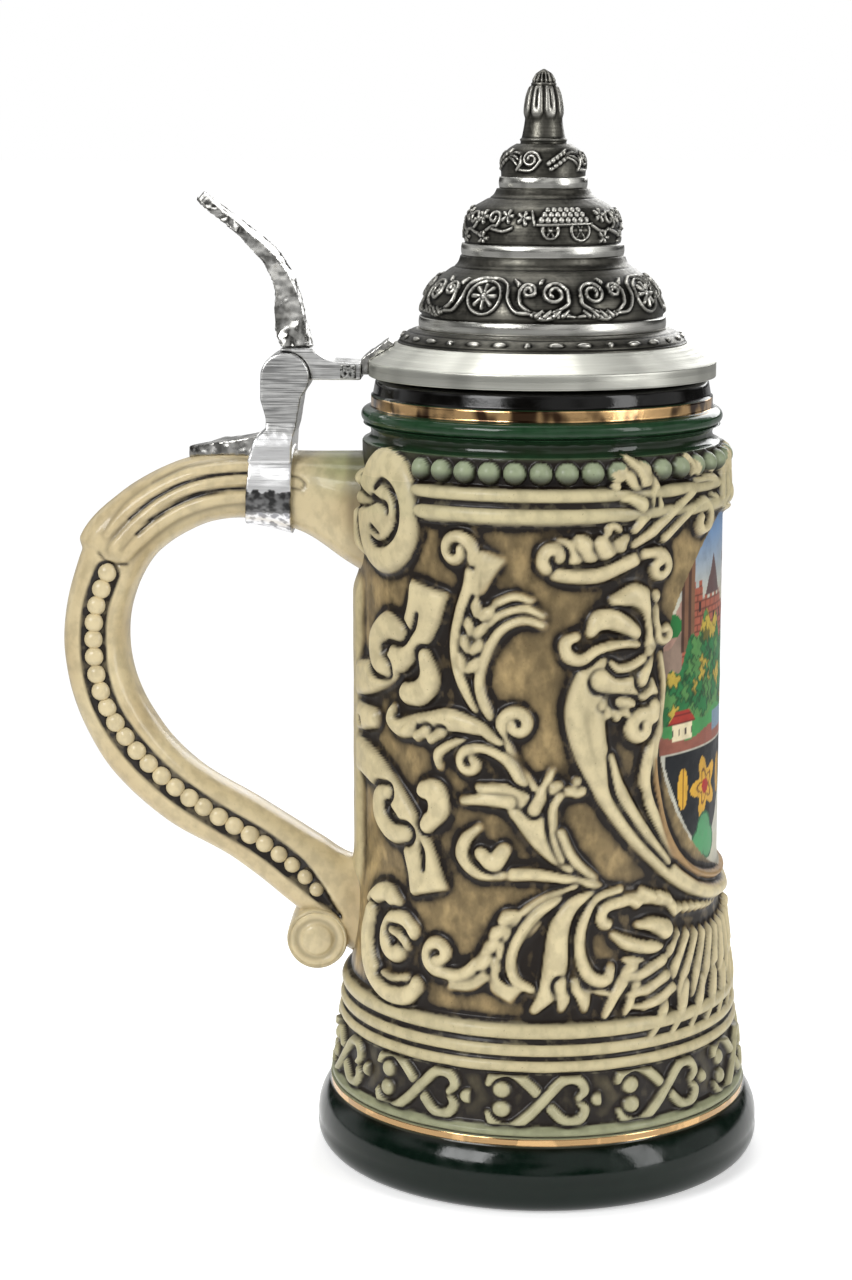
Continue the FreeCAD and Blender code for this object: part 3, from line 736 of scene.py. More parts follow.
def glaze(name, coat, coat_roughness, streaks, gloss):
    """Fired glaze: painted colour, brushed brown wash together with painted shade, mottled ground and fine
    specks.
    """
    n = Nodes(name, Coat_Weight=coat, Coat_Roughness=coat_roughness, IOR=1.34)
    paint = n.mask("paint")
    level = paint["Alpha"]
    wash_and_shade = n.mask("wash_and_shade")["Fac"]
    streak = n.noise((3.0, 3.0, 4.4), 4.0, 0.55)
    patch = n.noise((6, 6, 8), 3.0, 0.55)
    fine = n.noise((0.55, 0.55, 0.55), 4.0)
    cloud = n.noise((2.6, 2.6, 3.2), 3.0)
    light = n.span(streak, 0.34, 0.68, 1 - 0.26 * streaks, 1 + 0.22 * streaks)
    broad = n.span(patch, 0.36, 0.64, 1 - 0.3 * streaks, 1 + 0.32 * streaks)
    ground = n.sum("MULTIPLY", light, broad)
    high = n.span(cloud, 0.3, 0.62, 0.84, 1.04)
    blend = n.add("ShaderNodeMix", data_type="FLOAT")
    n.link(level, blend.inputs[0])
    n.link(ground, blend.inputs[2])
    n.link(high, blend.inputs[3])
    tone = n.add("ShaderNodeCombineColor")
    for socket in ("Red", "Green", "Blue"):
        n.link(blend.outputs[0], tone.inputs[socket])
    colour = n.mix(1.0, paint["Color"], tone.outputs[0], "MULTIPLY")
    patchy = n.span(cloud, 0.25, 0.7, 0.8, 1.25)
    # Darken towards the wash colour by the mask: brown wash and painted shade.
    dark = n.sum("MULTIPLY", wash_and_shade, patchy, True)
    colour = n.mix(dark, colour, rgba(24, 16, 9))
    speck = n.sum("MULTIPLY", n.span(fine, 0.66, 0.74, 0.0, 0.35), streaks, True)
    colour = n.mix(speck, colour, rgba(62, 46, 30))
    return n.finish(colour, cloud, gloss, gloss + 0.16, fine, 0.22, 0.06)


def gold_line():
    """Fired gold with painted reflections: dark and bright patches up on the neck, evenly bright at the foot.
    """
    n = Nodes("gold_lustre", Metallic=0.9, Coat_Weight=0.3, Coat_Roughness=0.05)
    cloud = n.noise((7, 7, 12), 2.0)
    foot = n.span(n.split(n.place())["Z"], 100 * MM, 150 * MM, 0.6, 0.0)
    # Painted reflection: noise patches swing the base colour between dark and bright gold.
    painted_reflection = n.sum("MAXIMUM", n.span(cloud, 0.42, 0.56), foot)
    colour = n.mix(painted_reflection, rgba(66, 42, 20), rgba(226, 184, 128))
    return n.finish(colour, cloud, 0.12, 0.26, n.noise((1.2, 1.2, 0.8), 2.0), 0.25, 0.08)


def patina():
    """Cast pewter, blackened in its hollows and rubbed bright on its relief."""
    n = Nodes("pewter_patina", Metallic=1.0)
    level = n.mask("paint")["Alpha"]
    wash_and_shade = n.mask("wash_and_shade")["Fac"]
    fine = n.noise((0.5, 0.5, 0.5), 4.0)
    rings = n.turned_noise(0.5)
    cloud = n.noise((3, 3, 3), 3.0)
    base = n.mix(n.span(cloud, 0.3, 0.7), rgba(66, 65, 60), rgba(92, 90, 83))
    base = n.mix(n.span(rings, 0.35, 0.65, 0.0, 0.35), base, rgba(112, 110, 102))
    rubbed = n.mix(level, base, rgba(214, 212, 204))
    colour = n.mix(wash_and_shade, rubbed, rgba(14, 14, 13))
    return n.finish(colour, fine, 0.28, 0.48, fine, 0.25, 0.05)


def lathe_pewter(name, colour, roughness, depth):
    """Pewter turned bright, with the fine rings that the tool leaves and a painted reflection that changes
    round the axis.
    """
    n = Nodes(name, Metallic=1.0, Anisotropic=0.7)
    around = n.add("ShaderNodeTangent", direction_type="RADIAL", axis="Z")
    n.link(around.outputs[0], n.bsdf.inputs["Tangent"])
    rings = n.turned_noise(0.16, 3.0)
    wide = n.turned_noise(1.1)
    tone = n.mix(n.span(rings, 0.3, 0.7), dimmed(colour, 0.82), colour)
    # Painted reflection: the colour darkens in broad fans round the Z axis.
    painted_sheen = n.span(n.fan_noise(2.6), 0.42, 0.6, 0.0, 0.5)
    tone = n.mix(painted_sheen, tone, dimmed(colour, 0.36))
    return n.finish(tone, wide, roughness, roughness + 0.14, rings, 0.5, depth)


def brushed_pewter(name, size, colour, roughness, depth=0.04):
    """Pewter filed along one direction: size is the grain in mm along X, Y and Z."""
    n = Nodes(name, Metallic=1.0)
    lines = n.noise(size, 3.0, 0.6)
    cloud = n.noise((4, 4, 4), 3.0)
    dull = dimmed(colour, 0.48)
    tone = n.mix(n.span(lines, 0.28, 0.62), dull, colour)
    tone = n.mix(n.span(cloud, 0.35, 0.75, 0.0, 0.5), tone, dull)
    return n.finish(tone, lines, roughness, roughness + 0.18, lines, 0.45, depth)


def strap_pewter():
    """The hinge strap: filed above, white as a painted highlight where it lies on the handle, hammered below:
    first dark as painted shade on the facet that faces down, then bright.
    """
    n = Nodes("pewter_strap", Metallic=1.0)
    lines = n.noise((9, 9, 0.22), 3.0, 0.6)
    dents = n.noise((1.7, 1.7, 1.4), 1.0)
    height = n.sum("ADD", n.split(n.place())["Z"], n.span(dents, 0.3, 0.7, -0.5 * MM, 0.5 * MM))
    filed = n.mix(n.span(lines, 0.28, 0.66), rgba(150, 150, 150), rgba(232, 232, 230))
    # Painted highlight: the face that lies on the handle is near white.
    white = n.mix(n.span(lines, 0.3, 0.6), rgba(246, 246, 246), rgba(255, 255, 255))
    # Painted shade: the hammered facet that faces down is darkened.
    dark = n.mix(n.span(dents, 0.36, 0.66), rgba(70, 70, 70), rgba(140, 140, 140))
    pale = n.mix(n.span(dents, 0.36, 0.56), rgba(160, 160, 164), rgba(250, 250, 252))
    tone = n.mix(n.span(height, 161.4 * MM, 163.0 * MM), white, filed)
    tone = n.mix(n.span(height, 149.6 * MM, 150.2 * MM), dark, tone)
    tone = n.mix(n.span(height, 144.6 * MM, 145.4 * MM), pale, tone)
    return n.finish(tone, lines, 0.28, 0.44, lines, 0.4, 0.04)


def cast_pewter(name, dark, light, size, roughness, depth):
    """Rough cast pewter with dark pits and bright rubbed bumps."""
    n = Nodes(name, Metallic=1.0)
    pits = n.noise((size, size, size), 2.0, 0.5)
    cloud = n.noise((3.4, 3.4, 4.6), 2.0)
    tone = n.mix(n.span(pits, 0.3, 0.62), dark, light)
    tone = n.mix(n.span(cloud, 0.42, 0.66, 0.0, 0.6), tone, dark)
    return n.finish(tone, pits, roughness, roughness + 0.2, pits, 0.5, depth)


CLAY = glaze("stoneware_glaze", 0.12, 0.1, 1.0, 0.36)
HANDLE_CLAY = glaze("handle_glaze", 0.35, 0.08, 0.35, 0.3)
GLOSS = glaze("coloured_glaze", 0.1, 0.03, 0.3, 0.05)
GOLD = gold_line()
PATINA = patina()
BRIGHT = lathe_pewter("pewter_polished", rgba(222, 221, 214), 0.16, 0.02)
TURNED = lathe_pewter("pewter_turned", rgba(218, 218, 208), 0.3, 0.05)
FILED = brushed_pewter("pewter_filed", (9, 9, 0.22), rgba(232, 232, 230), 0.3)
STRAP = strap_pewter()
PIN_STEEL = brushed_pewter("pin_steel", (0.3, 6, 0.3), rgba(190, 190, 188), 0.3)
CAST = cast_pewter("pewter_cast", rgba(122, 121, 117), rgba(204, 203, 199), 2.8, 0.16, 0.12)
STAMPED = cast_pewter("pewter_stamped", rgba(40, 40, 38), rgba(214, 214, 210), 0.55, 0.25, 0.2)
INNER_PEWTER = brushed_pewter("pewter_inner", (3, 3, 3), rgba(170, 169, 164), 0.38, 0.03)


# ------------------------------------------------------------ stein body

FOOT = [(49.0, 2.2, 49.7, 6.2), (49.3, 10.6, 47.2, 14.4), (46.8, 14.8)]
BAND = [(46.9, 16.4)] + swell(16.6, 18.4, 46.1, 0.6) + [(45.7, 19.0), (44.6, 29.6)]
RAILS = swell(30.2, 32.9, 44.0, 0.9) + swell(33.6, 36.4, 43.7, 0.9) + swell(37.3, 40.6, 43.3, 1.0)
WALL = [(42.5, 41.4), (41.6, 54, 41.0, 70), (41.0, 146.6)]
TOP_RAILS = swell(147.4, 150.7, 40.6, 0.9) + swell(151.8, 154.6, 40.4, 0.9)
BEAD_SEAT = [(39.2, 155.2), (39.2, 160.6)]
RINGS = swell(160.9, 164.5, 39.0, 1.9) + swell(164.7, 167.9, 37.9, 1.6)
NECK = [(37.3, 168.1), (37.3, 170.5), (36.9, 170.7), (36.4, 173.4), (34.5, 174.5, 32.6, 173.4)]
INSIDE = [(32.8, 168.0), (INNER_R, 158.0), (INNER_R, 16.0), (32.4, 11, 27.4, 9.0)]
FIELD_LOW = 29.0
FIELD_TOP = 162.0
FRONT_S = QUARTER


def ground_radius(z):
    """Radius of the ground between the relief, also where leaves cross the rails."""
    return np.interp(z, [29, 41.4, 54, 70, 147, 155, 162], [42.6, 42.2, 40.9, 39.95, 39.9, 39.4, 39.2])


def scroll_band():
    """One repeat of the crossed scrolls and balls in the band above the foot."""
    f = Field(-13, 13, 18, 31, 0.2, 1.25)
    for side in (1, -1):
        z = [24.5 + side * d for d in (3.2, 5.2, 6.0, 3.2, -1.0, -4.2, -4.2, -2.0, -0.4)]
        s = [-9.4, -8.2, -5.0, -1.4, 2.2, 5.2, 8.2, 9.4, 8.2]
        f.stroke(list(zip(s, z)), [0.6, 0.9, 1.0, 1.0, 0.95, 1.0, 1.0, 0.9, 0.6], 1.6, moat=0.6, floor=0.3)
        f.boss((-6.8, 24.5 + side * 2.1), 1.6, 1.5, 0.4)
    f.boss((12.0, 24.4), 1.3, 1.5, 0.3)
    return f.soften(0.22)


# -------------------------------------------------------- painted panel

def cells(u, z, spots, seed):
    """Distance to the nearest and second nearest of some random spots, and the nearest one."""
    rng = np.random.default_rng(seed)
    pu = rng.uniform(u.min(), u.max(), spots)
    pz = rng.uniform(z.min(), z.max(), spots)
    first = np.full(u.shape, 1e9)
    second = np.full(u.shape, 1e9)
    index = np.zeros(u.shape, int)
    for k in range(spots):
        d = np.hypot(u - pu[k], z - pz[k])
        nearer = d < first
        second = np.where(nearer, first, np.minimum(second, d))
        index[nearer] = k
        first = np.where(nearer, d, first)
    return first, second, index


def panel_picture(u, z):
    """A small generic landscape over two plain shields; u is mm from the front centre line."""
    rng = np.random.default_rng(21)
    a = np.abs(u)
    colour = np.zeros(u.shape + (3,))

    def fill(where, r, g, b, soft=None):
        amount = where.astype(float) if soft is None else where * soft
        colour[:] = colour * (1 - amount[..., None]) + linear(r, g, b) * amount[..., None]

    sky = step(122, 146, z)[..., None]
    colour[:] = linear(214, 208, 178) * (1 - sky) + linear(104, 140, 182) * sky
    haze = np.sin(u * 0.23 + 1) * 3 + np.sin(u * 0.61) * 1.2
    fill(z < 127 + haze, 176, 140, 124)
    fill(z < 121 + haze * 0.7, 150, 128, 112)
    # castle on the hill
    brick = ((z % 1.6) < 0.35) | (((u + 1.3 * np.floor(z / 1.6)) % 2.6) < 0.35)
    for u0, u1, top in ((-29, -21, 132), (-21, -8, 129), (-8, 4, 126), (4, 18, 130), (18, 27, 125)):
        wall = (u > u0) & (u < u1) & (z < top + 0.6 * np.sign(np.sin(u * 2.2))) & (z > 112)
        fill(wall, 172, 96, 74)
        fill(wall & brick, 112, 62, 48)
        fill(wall & (np.abs((u - u0) % 4.5 - 2.2) < 0.55) & (np.abs(z - top + 5) < 1.1), 60, 36, 30)
    for centre, half, top in ((-27, 2.6, 140.5), (-3, 2.2, 135), (14, 3.0, 138)):
        tower = (np.abs(u - centre) < half) & (z < top) & (z > 118)
        fill(tower, 128, 92, 68)
        fill(tower & (np.sin((u - centre) * 2.4) > 0.25), 78, 54, 42)
        fill(tower & (z > top - 1.0), 58, 44, 38)
    for centre, half, base in ((-3, 3.2, 135), (-15, 4.5, 129)):
        roof = (z >= base) & (z < base + 2 * (half - np.abs(u - centre)))
        fill(roof, 96, 72, 70)
    # trees
    near, second, which = cells(u + 0.5 * np.sin(3 * z), z + 0.5 * np.sin(3.4 * u), 620, 5)
    tint = rng.uniform(0, 1, 620)[which]
    crown = 121 - 5 * np.cos(u * 0.17) + 1.8 * np.sin(u * 0.9) - 0.004 * u * u
    wood = (z < crown) & (z > 99)
    leaf = np.where(tint > 0.72, 1.0, 0.0)
    fill(wood, 88, 142, 78)
    fill(wood & (tint < 0.4), 44, 118, 66)
    fill(wood & (leaf > 0), 196, 170, 70)
    fill(wood, 26, 56, 32, (1 - step(0.1, 0.6, second - near)) * 0.8)
    fill((z < 126.5) & (z > 121.5) & (np.hypot(u + 32, z - 124) < 2.6), 40, 118, 58)
    # meadow, path and cottages
    fill((z < 103.5 + np.sin(u * 0.4)) & (z > 95), 74, 150, 84)
    fill((z < 99.5 + 0.8 * np.sin(u * 0.3)) & (z > 95), 150, 92, 76)
    fill((z < 103) & (z > 98.5) & (a < 14), 126, 150, 168)
    for centre, half in ((-28.5, 3.6), (22, 4.2)):
        house = (np.abs(u - centre) < half) & (z > 99) & (z < 102.6)
        fill(house, 236, 222, 184)
        fill(house & (np.abs((u - centre) % 2.4 - 1.2) < 0.35) & (np.abs(z - 100.8) < 0.8), 70, 60, 56)
        roof = (z >= 102.4) & (z < 105.4) & (np.abs(u - centre) < half + 1.6 - (z - 102.4) * 0.9)
        fill(roof, 168, 56, 44)
        fill(roof & ((z % 0.9) < 0.22), 112, 34, 30)
    # shields with a plain rosette and leaves
    fill(z < 96.5, 198, 196, 180)
    shield = (a > 2) & (a < 34) & (z < 96) & (z > 74 + 0.075 * (a - 18) ** 2)
    fill(shield, 20, 24, 28)
    bloom = np.hypot(a - 18, z - 87)
    turn = np.arctan2(z - 87, a - 18)
    petals = 5.4 + 1.7 * np.cos(5 * turn)
    fill(shield & (bloom < petals), 218, 168, 58)
    fill(shield & (np.abs(bloom - petals * 0.55) < 0.35), 120, 78, 24)
    fill(shield & (bloom < 1.7), 176, 40, 34)
    for side in (-1, 1):
        leafy = np.hypot((a - 18 - side * 10) / 1.9, (z - 88 - side * 0) / 4.6)
        fill(shield & (leafy < 1), 218, 168, 58)
        fill(shield & (leafy < 1) & (np.abs(a - 18 - side * 10) < 0.25), 120, 78, 24)
    clover = np.minimum(np.hypot(a - 21, z - 74), np.hypot(a - 15.5, z - 74))
    clover = np.minimum(clover, np.hypot(a - 18.2, z - 77.5))
    fill(clover < 3.6, 84, 156, 104)
    fill(np.abs(clover - 3.6) < 0.3, 40, 96, 60)
    fill((z < 74.5) & (clover >= 3.9), 196, 192, 172)
    return colour


# ------------------------------------------------------------ body piece

def stein_rows():
    """Outline points of the stein from the foot over the lip to the inside floor."""
    points = [(45.5, 0.0)]
    plan = ((FOOT, 0.75), (BAND, 0.36), (RAILS, 0.36), (WALL, 0.36), (TOP_RAILS, 0.36),
            (BEAD_SEAT, 0.36), (RINGS, 0.4), (NECK, 0.5), (INSIDE, 6.0))
    for moves, spacing in plan:
        points += [tuple(p) for p in trace(points[-1], moves, spacing)[1:]]
    return np.array(points)


# From and to a height, the painted colour of the high and of the low places.
ZONES = [
    (0, 14.6, (8, 22, 15), (5, 14, 9)),
    (15.0, 18.8, (146, 148, 117), (112, 114, 88)),
    (19.4, 19.4, (172, 167, 134), (80, 73, 54)),
    (29.6, 29.6, (182, 175, 140), (80, 73, 54)),
    (30.4, 41, (194, 182, 144), (104, 92, 62)),
    (42, 147, (194, 181, 144), (146, 126, 88)),
    (148, 154.8, (192, 181, 143), (104, 92, 62)),
    (155.6, 160.6, (148, 158, 128), (50, 50, 36)),
    (161, 161, (33, 62, 39), (14, 32, 19)),
]
# Height of each seam that holds the dark wash, and half the width of its line.
SEAMS = ((19.1, 0.3), (30.0, 0.34), (33.25, 0.34), (36.85, 0.4), (41.1, 0.5), (147.0, 0.45), (151.25, 0.45),
         (155.0, 0.4), (164.6, 0.3))
BAND_SPAN = (19.2, 29.8)
WALL_SPAN = (41.3, 146.7)
BEAD_SPAN = (155.1, 160.8)
ABOVE_RAILS = 154.8
WASHED_SPAN = (16.5, 160.9)
CLAY_SPAN = (16.4, 160.75)
GOLD_SPANS = ((14.8, 16.4), (168.1, 170.6))
NECK_FROM = 170.5
BEADS_FROM_S = -29.0
BAND_REPEATS = 5
PLAIN_HEIGHT = 1.5
LEAF_CREAM = linear(206, 193, 153)
STRIP_CREAM = linear(190, 176, 136)
GILT_BROWN = linear(158, 120, 74)
NECK_BLACK = linear(9, 8, 7)
INSIDE_CREAM = linear(214, 208, 188)


def inside(z, span):
    return (z > span[0]) & (z < span[1])


def zone_colours(z):
    """Painted colour of the high and the low places at each height."""
    heights = [end for zone in ZONES for end in zone[:2]]
    tables = []
    for part in (2, 3):
        values = np.array([linear(*zone[part]) for zone in ZONES for end in zone[:2]])
        tables.append(np.stack([np.interp(z, heights, values[:, k]) for k in range(3)], -1))
    return tables


class Wall:
    """The stein's outer side: a grid over height z and arc length s from the side's middle."""

    def __init__(self, rz):
        self.phi = angles(AROUND)
        self.z = np.repeat(rz[:, 1:], AROUND, 1)
        near = np.minimum(self.phi, 2 * math.pi - self.phi)
        self.s = np.broadcast_to(SIDE_R * near - QUARTER, self.z.shape)
        self.on_wall = inside(self.z, WALL_SPAN)
        self.in_band = inside(self.z, BAND_SPAN)
        self.ground = ground_radius(self.z)
        self.base = np.where(self.on_wall, self.ground, np.repeat(rz[:, :1], AROUND, 1))
        self.plain = step(-51.0, -55.5, self.s) * step(60, 66, self.z) * step(133, 127, self.z)

    def shape(self):
        """Radius of every point, from the outline, the relief, the band and the beads."""
        z = self.z
        side = Field(-QUARTER, QUARTER, FIELD_LOW, FIELD_TOP, fat=1.12)
        side_relief(side)
        side.soften(0.45)
        relief = np.where(inside(z, (FIELD_LOW, FIELD_TOP)), side.at(self.s, z), 0.0)
        relief = relief + (PLAIN_HEIGHT - relief) * self.plain
        raised = self.ground + relief
        crossing = np.where(relief > 0.5, np.maximum(self.base, raised), self.base)
        radius = np.where(self.on_wall, raised, crossing)
        # crossed scrolls above the foot
        repeat = (self.s + QUARTER) % (2 * QUARTER / BAND_REPEATS) - QUARTER / BAND_REPEATS
        self.motif = np.where(self.in_band, scroll_band().at(repeat, z), 0.0)
        radius = np.where(self.in_band, self.base - 0.5 + self.motif, radius)
        # row of beads
        pitch = 2 * math.pi / BEAD_COUNT
        off = BEAD_RING_R * ((self.phi % pitch) - pitch / 2)
        ball = BEAD_R ** 2 - off[None, :] ** 2 - (z - BEAD_Z) ** 2
        free = self.s > BEADS_FROM_S
        beads = np.where((ball > 0) & free, BEAD_RING_R + np.sqrt(np.maximum(ball, 0)), 0)
        radius = np.maximum(radius, beads)
        # the hand of the potter: nothing is quite even
        rng = np.random.default_rng(3)
        wobble = blur(rng.normal(size=z.shape), 5, 5) * 1.1 + blur(rng.normal(size=z.shape), 2, 2) * 0.18
        calm = np.where(inside(z, (16, 169)), 1.0, 0.15)
        self.radius = radius + np.where(z > 0.5, wobble * calm * 0.35, 0.0)
        self.relief = relief
        self.leaf = (relief > 0.6) & (self.radius > self.base + 0.3)
        self.bare_bead = (ball > 0) & ~self.leaf
        self.deep = blur(self.radius, 8, 8) - self.radius

    def make_wash_and_shade(self):
        """Dark wash along the seams, dark wash with painted shade in the hollows, and painted shade on the
        lower half of each bead.
        """
        # Small hollows and broad recesses are darkened: partly the brown wash, partly painted shade.
        cavity = blur(self.radius, 3.4, 3.4) - self.radius
        wash_and_shade = np.clip(cavity / 0.34, 0, 1) + 0.6 * np.clip((self.deep - 0.1) / 0.7, 0, 1)
        for seam, width in SEAMS:
            line = np.exp(-((self.z - seam) / width) ** 2)
            wash_and_shade = np.maximum(wash_and_shade, 0.92 * line * ~self.leaf)
        thin = 0.7 * np.clip(cavity / 0.5, 0, 1)
        wash_and_shade = np.where(inside(self.z, WASHED_SPAN), np.clip(wash_and_shade, 0, 1), thin)
        # Painted shade: each bare bead darkens towards its underside.
        under = 0.75 * step(BEAD_Z + 0.4, BEAD_Z - 2.2, self.z)
        wash_and_shade = np.where(self.bare_bead, np.maximum(0.35 * wash_and_shade, under), wash_and_shade)
        self.wash_and_shade = wash_and_shade * (1 - 0.8 * self.plain)

    def make_level(self):
        """How far each point is from the ground (0) to the top of the relief (1)."""
        level = np.clip((self.radius - self.ground) / 1.3, 0, 1)
        level = np.where(self.in_band, np.clip((self.motif - 0.3) / 0.8, 0, 1), level)
        level = np.where(~self.on_wall & ~self.in_band, 1.0, level)
        level = np.where(inside(self.z, BEAD_SPAN), step(0.3, 1.4, self.radius - BEAD_SEAT[0][0]), level)
        self.level = np.where(self.leaf & (self.z > ABOVE_RAILS), 1.0, level)

    def make_colour(self):
        z = self.z
        high, low = zone_colours(z)
        high = np.where((self.leaf & (z > ABOVE_RAILS))[..., None], LEAF_CREAM, high)
        # Painted highlight: on the wall, cream that stands proud of its surroundings is lightened, and the
        # rest is made a tenth darker.
        proud = np.clip(-self.deep / 0.8, 0, 1)[..., None]
        pale = inside(z, (41, 155))[..., None]
        high = high * (1 + pale * (0.34 * proud - 0.1))
        colour = low + (high - low) * step(0.15, 0.85, self.level)[..., None]
        shade = 0.4 + 0.6 * step(155.8, 158.4, z)[..., None]
        colour = np.where(self.bare_bead[..., None], colour * shade, colour)
        colour = colour + (STRIP_CREAM - colour) * self.plain[..., None]
        gilt = (gilt_mask().at(self.s, z) * ((self.s > 1) & inside(z, (61, 124))))[..., None]
        self.colour = colour + (GILT_BROWN - colour) * 0.8 * gilt
        self.wash_and_shade = self.wash_and_shade + 0.35 * gilt[..., 0] * step(0.6, 0.0, self.relief)

    def paint_panel(self):
        """Lay the picture on the oval front panel, in the window that holds it."""
        u = SIDE_R * (self.phi - math.pi) + np.zeros(self.z.shape)
        oval = np.hypot(u / 37.0, (self.z - 107) / 41.0)
        painted = (oval < 1.0) & self.on_wall & (self.relief < 0.35)
        rows = np.where(painted.any(1))[0]
        cols = np.where(painted.any(0))[0]
        window = (slice(rows[0], rows[-1] + 1), slice(cols[0], cols[-1] + 1))
        picture = panel_picture(u[window], self.z[window])
        mask = painted[window]
        self.colour[window][mask] = picture[mask]
        self.level[window][mask] = 1.0
        self.wash_and_shade[window][mask] *= 0.25


def make_body():
    rz = stein_rows()
    lip = int(np.argmax(rz[:, 1]))
    outer = slice(0, lip + 1)
    wall = Wall(rz[outer])
    wall.shape()
    wall.make_wash_and_shade()
    wall.make_level()
    wall.make_colour()
    wall.paint_panel()
    row = np.arange(len(rz))
    masks = np.zeros((len(rz), AROUND, 5))
    masks[outer] = np.dstack([wall.colour, wall.level, wall.wash_and_shade])
    neck = (rz[:, 1] > NECK_FROM) & (row <= lip + 6)
    inner = row > lip + 6
    masks[neck, :, :3] = NECK_BLACK
    masks[inner, :, :3] = INSIDE_CREAM
    masks[neck | inner, :, 3] = 1.0
    full = np.repeat(rz[:, :1], AROUND, 1)
    full[outer] = wall.radius
    phi = wall.phi
    points = np.stack([-full * np.cos(phi), -full * np.sin(phi), np.repeat(rz[:, 1:], AROUND, 1)], -1)
    middle = (rz[1:, 1] + rz[:-1, 1]) / 2
    slots = np.ones(len(middle), int)
    slots[inside(middle, CLAY_SPAN)] = 0
    for span in GOLD_SPANS:
        slots[inside(middle, span)] = 2
    slots[lip:] = 1
    length = travelled(rz)
    v = np.interp(length, [0, length[lip], length[-1]], [0.03, 0.88, 0.985])
    skin = Skin()
    skin.grid(points, masks, slots, v=v)
    piece = skin.build("stein_body_relief", [CLAY, GLOSS, GOLD], own_uv=True)
    return settle(piece, "vessel", "stoneware", "stein_body")


# ---------------------------------------------------------------- handle

# Each station: outer edge x, z, inner edge x, z, and width along Y.
HANDLE = [
    (-33.0, 158.0, -33.0, 128.0, 27), (-42.5, 157.6, -42.5, 133.5, 23),
    (-52.0, 157.6, -52.0, 139.8, 19), (-64.0, 157.9, -63.0, 142.8, 17.5),
    (-81.0, 155.0, -73.8, 141.8, 17), (-97.0, 144.2, -85.3, 134.4, 17),
    (-105.1, 124.0, -91.1, 121.8, 16.5), (-104.9, 106.0, -90.8, 108.6, 16.5),
    (-97.6, 88.4, -85.2, 96.6, 15.5), (-84.6, 75.0, -76.3, 87.0, 15),
    (-68.5, 65.5, -62.8, 78.8, 14.5), (-55.2, 55.0, -49.4, 70.4, 15),
    (-43.0, 45.0, -42.0, 66.0, 17), (-33.0, 42.0, -33.0, 66.0, 20),
]
SECTION_POWER = 0.75
ROOT_X = -36.6
BEAD_ROW = [(-95.2, 131.4), (-97.8, 124), (-98.6, 116), (-97.8, 107), (-94.6, 98.4), (-88.4, 89.8),
            (-80.6, 82.4), (-71.6, 76.2), (-61.6, 70.2), (-54.4, 64.6), (-49.6, 59.6)]
CHANNEL_END = (-44.4, 53.6)
SCROLL = (-49.4, 48.6)
HANDLE_BEADS = 25
HANDLE_CREAM = linear(216, 200, 160)
HANDLE_TAN = linear(168, 140, 94)
HANDLE_GREEN = linear(158, 164, 118)


def handle_ornament():
    """Ridges, grooves and the bead channel of the handle's side, over X and Z."""
    f = Field(-110, -30, 40, 162, 0.25)
    loop = [(-60, 152.2), (-66, 152.1), (-74, 150.9), (-81, 148), (-87, 143.4), (-91.4, 139), (-93.2, 136.6),
            (-91.6, 135.3), (-88.6, 138), (-84, 142), (-78, 145.6), (-70, 148.1), (-60, 148.9)]
    f.stroke(loop, [1.5] * 13, 0.75, 2.2, moat=0)
    second = [(-60, 155.1), (-67, 155), (-76, 153.6), (-84, 150), (-90, 145.6), (-95, 140)]
    f.stroke(second, [1.3, 1.3, 1.3, 1.3, 1.3, 0.5], 0.65, 2.2, moat=0)
    f.incise([(-60, 150.5), (-68, 150.2), (-76, 148.5), (-83, 144.9), (-88.4, 140.2)],
             [0.8, 0.9, 0.9, 0.8, 0.3], 1.2)
    f.incise([(-60, 153.7), (-68, 153.6), (-76, 152.1), (-84, 148.4), (-90, 143.6)],
             [0.45, 0.5, 0.5, 0.5, 0.3], 0.7)
    f.incise([(-60, 156.6), (-68, 156.6), (-77, 155.1), (-85, 151.4)], [0.4, 0.45, 0.4, 0.2], 0.6)
    f.incise([(-90.6, 133.4), (-94.6, 133.6), (-97, 136)], [0.3, 0.6, 0.3], 0.9)
    widths = [3.0] * 9 + [2.8, 2.4, 0.9]
    f.incise(BEAD_ROW + [CHANNEL_END], widths, 1.5)
    f.incise([(-54.6, 153.2), (-52.6, 152.8), (-51.2, 151.4), (-52.4, 150.4), (-54.6, 150.6)], [0.4] * 5, 0.6)
    return f.soften(0.25)


def handle_grid(rows, cols=132):
    """Points and outward directions round the handle's stations, and the side each column is on."""
    a = angles(cols)
    c = np.sign(np.cos(a)) * np.abs(np.cos(a)) ** SECTION_POWER
    s = np.sign(np.sin(a)) * np.abs(np.sin(a)) ** SECTION_POWER
    centre = np.stack([rows[:, 0] + rows[:, 2], 0 * rows[:, 0], rows[:, 1] + rows[:, 3]], -1) / 2
    across = np.stack([rows[:, 0] - rows[:, 2], 0 * rows[:, 0], rows[:, 1] - rows[:, 3]], -1) / 2
    points = centre[:, None] + across[:, None] * c[None, :, None]
    points[..., 1] += rows[:, 4:] / 2 * s
    along = np.gradient(points, axis=0)
    round_it = (np.roll(points, -1, 1) - np.roll(points, 1, 1)) / 2
    normal = np.cross(round_it, along)
    normal /= np.linalg.norm(normal, axis=-1, keepdims=True) + 1e-9
    return points, normal, c


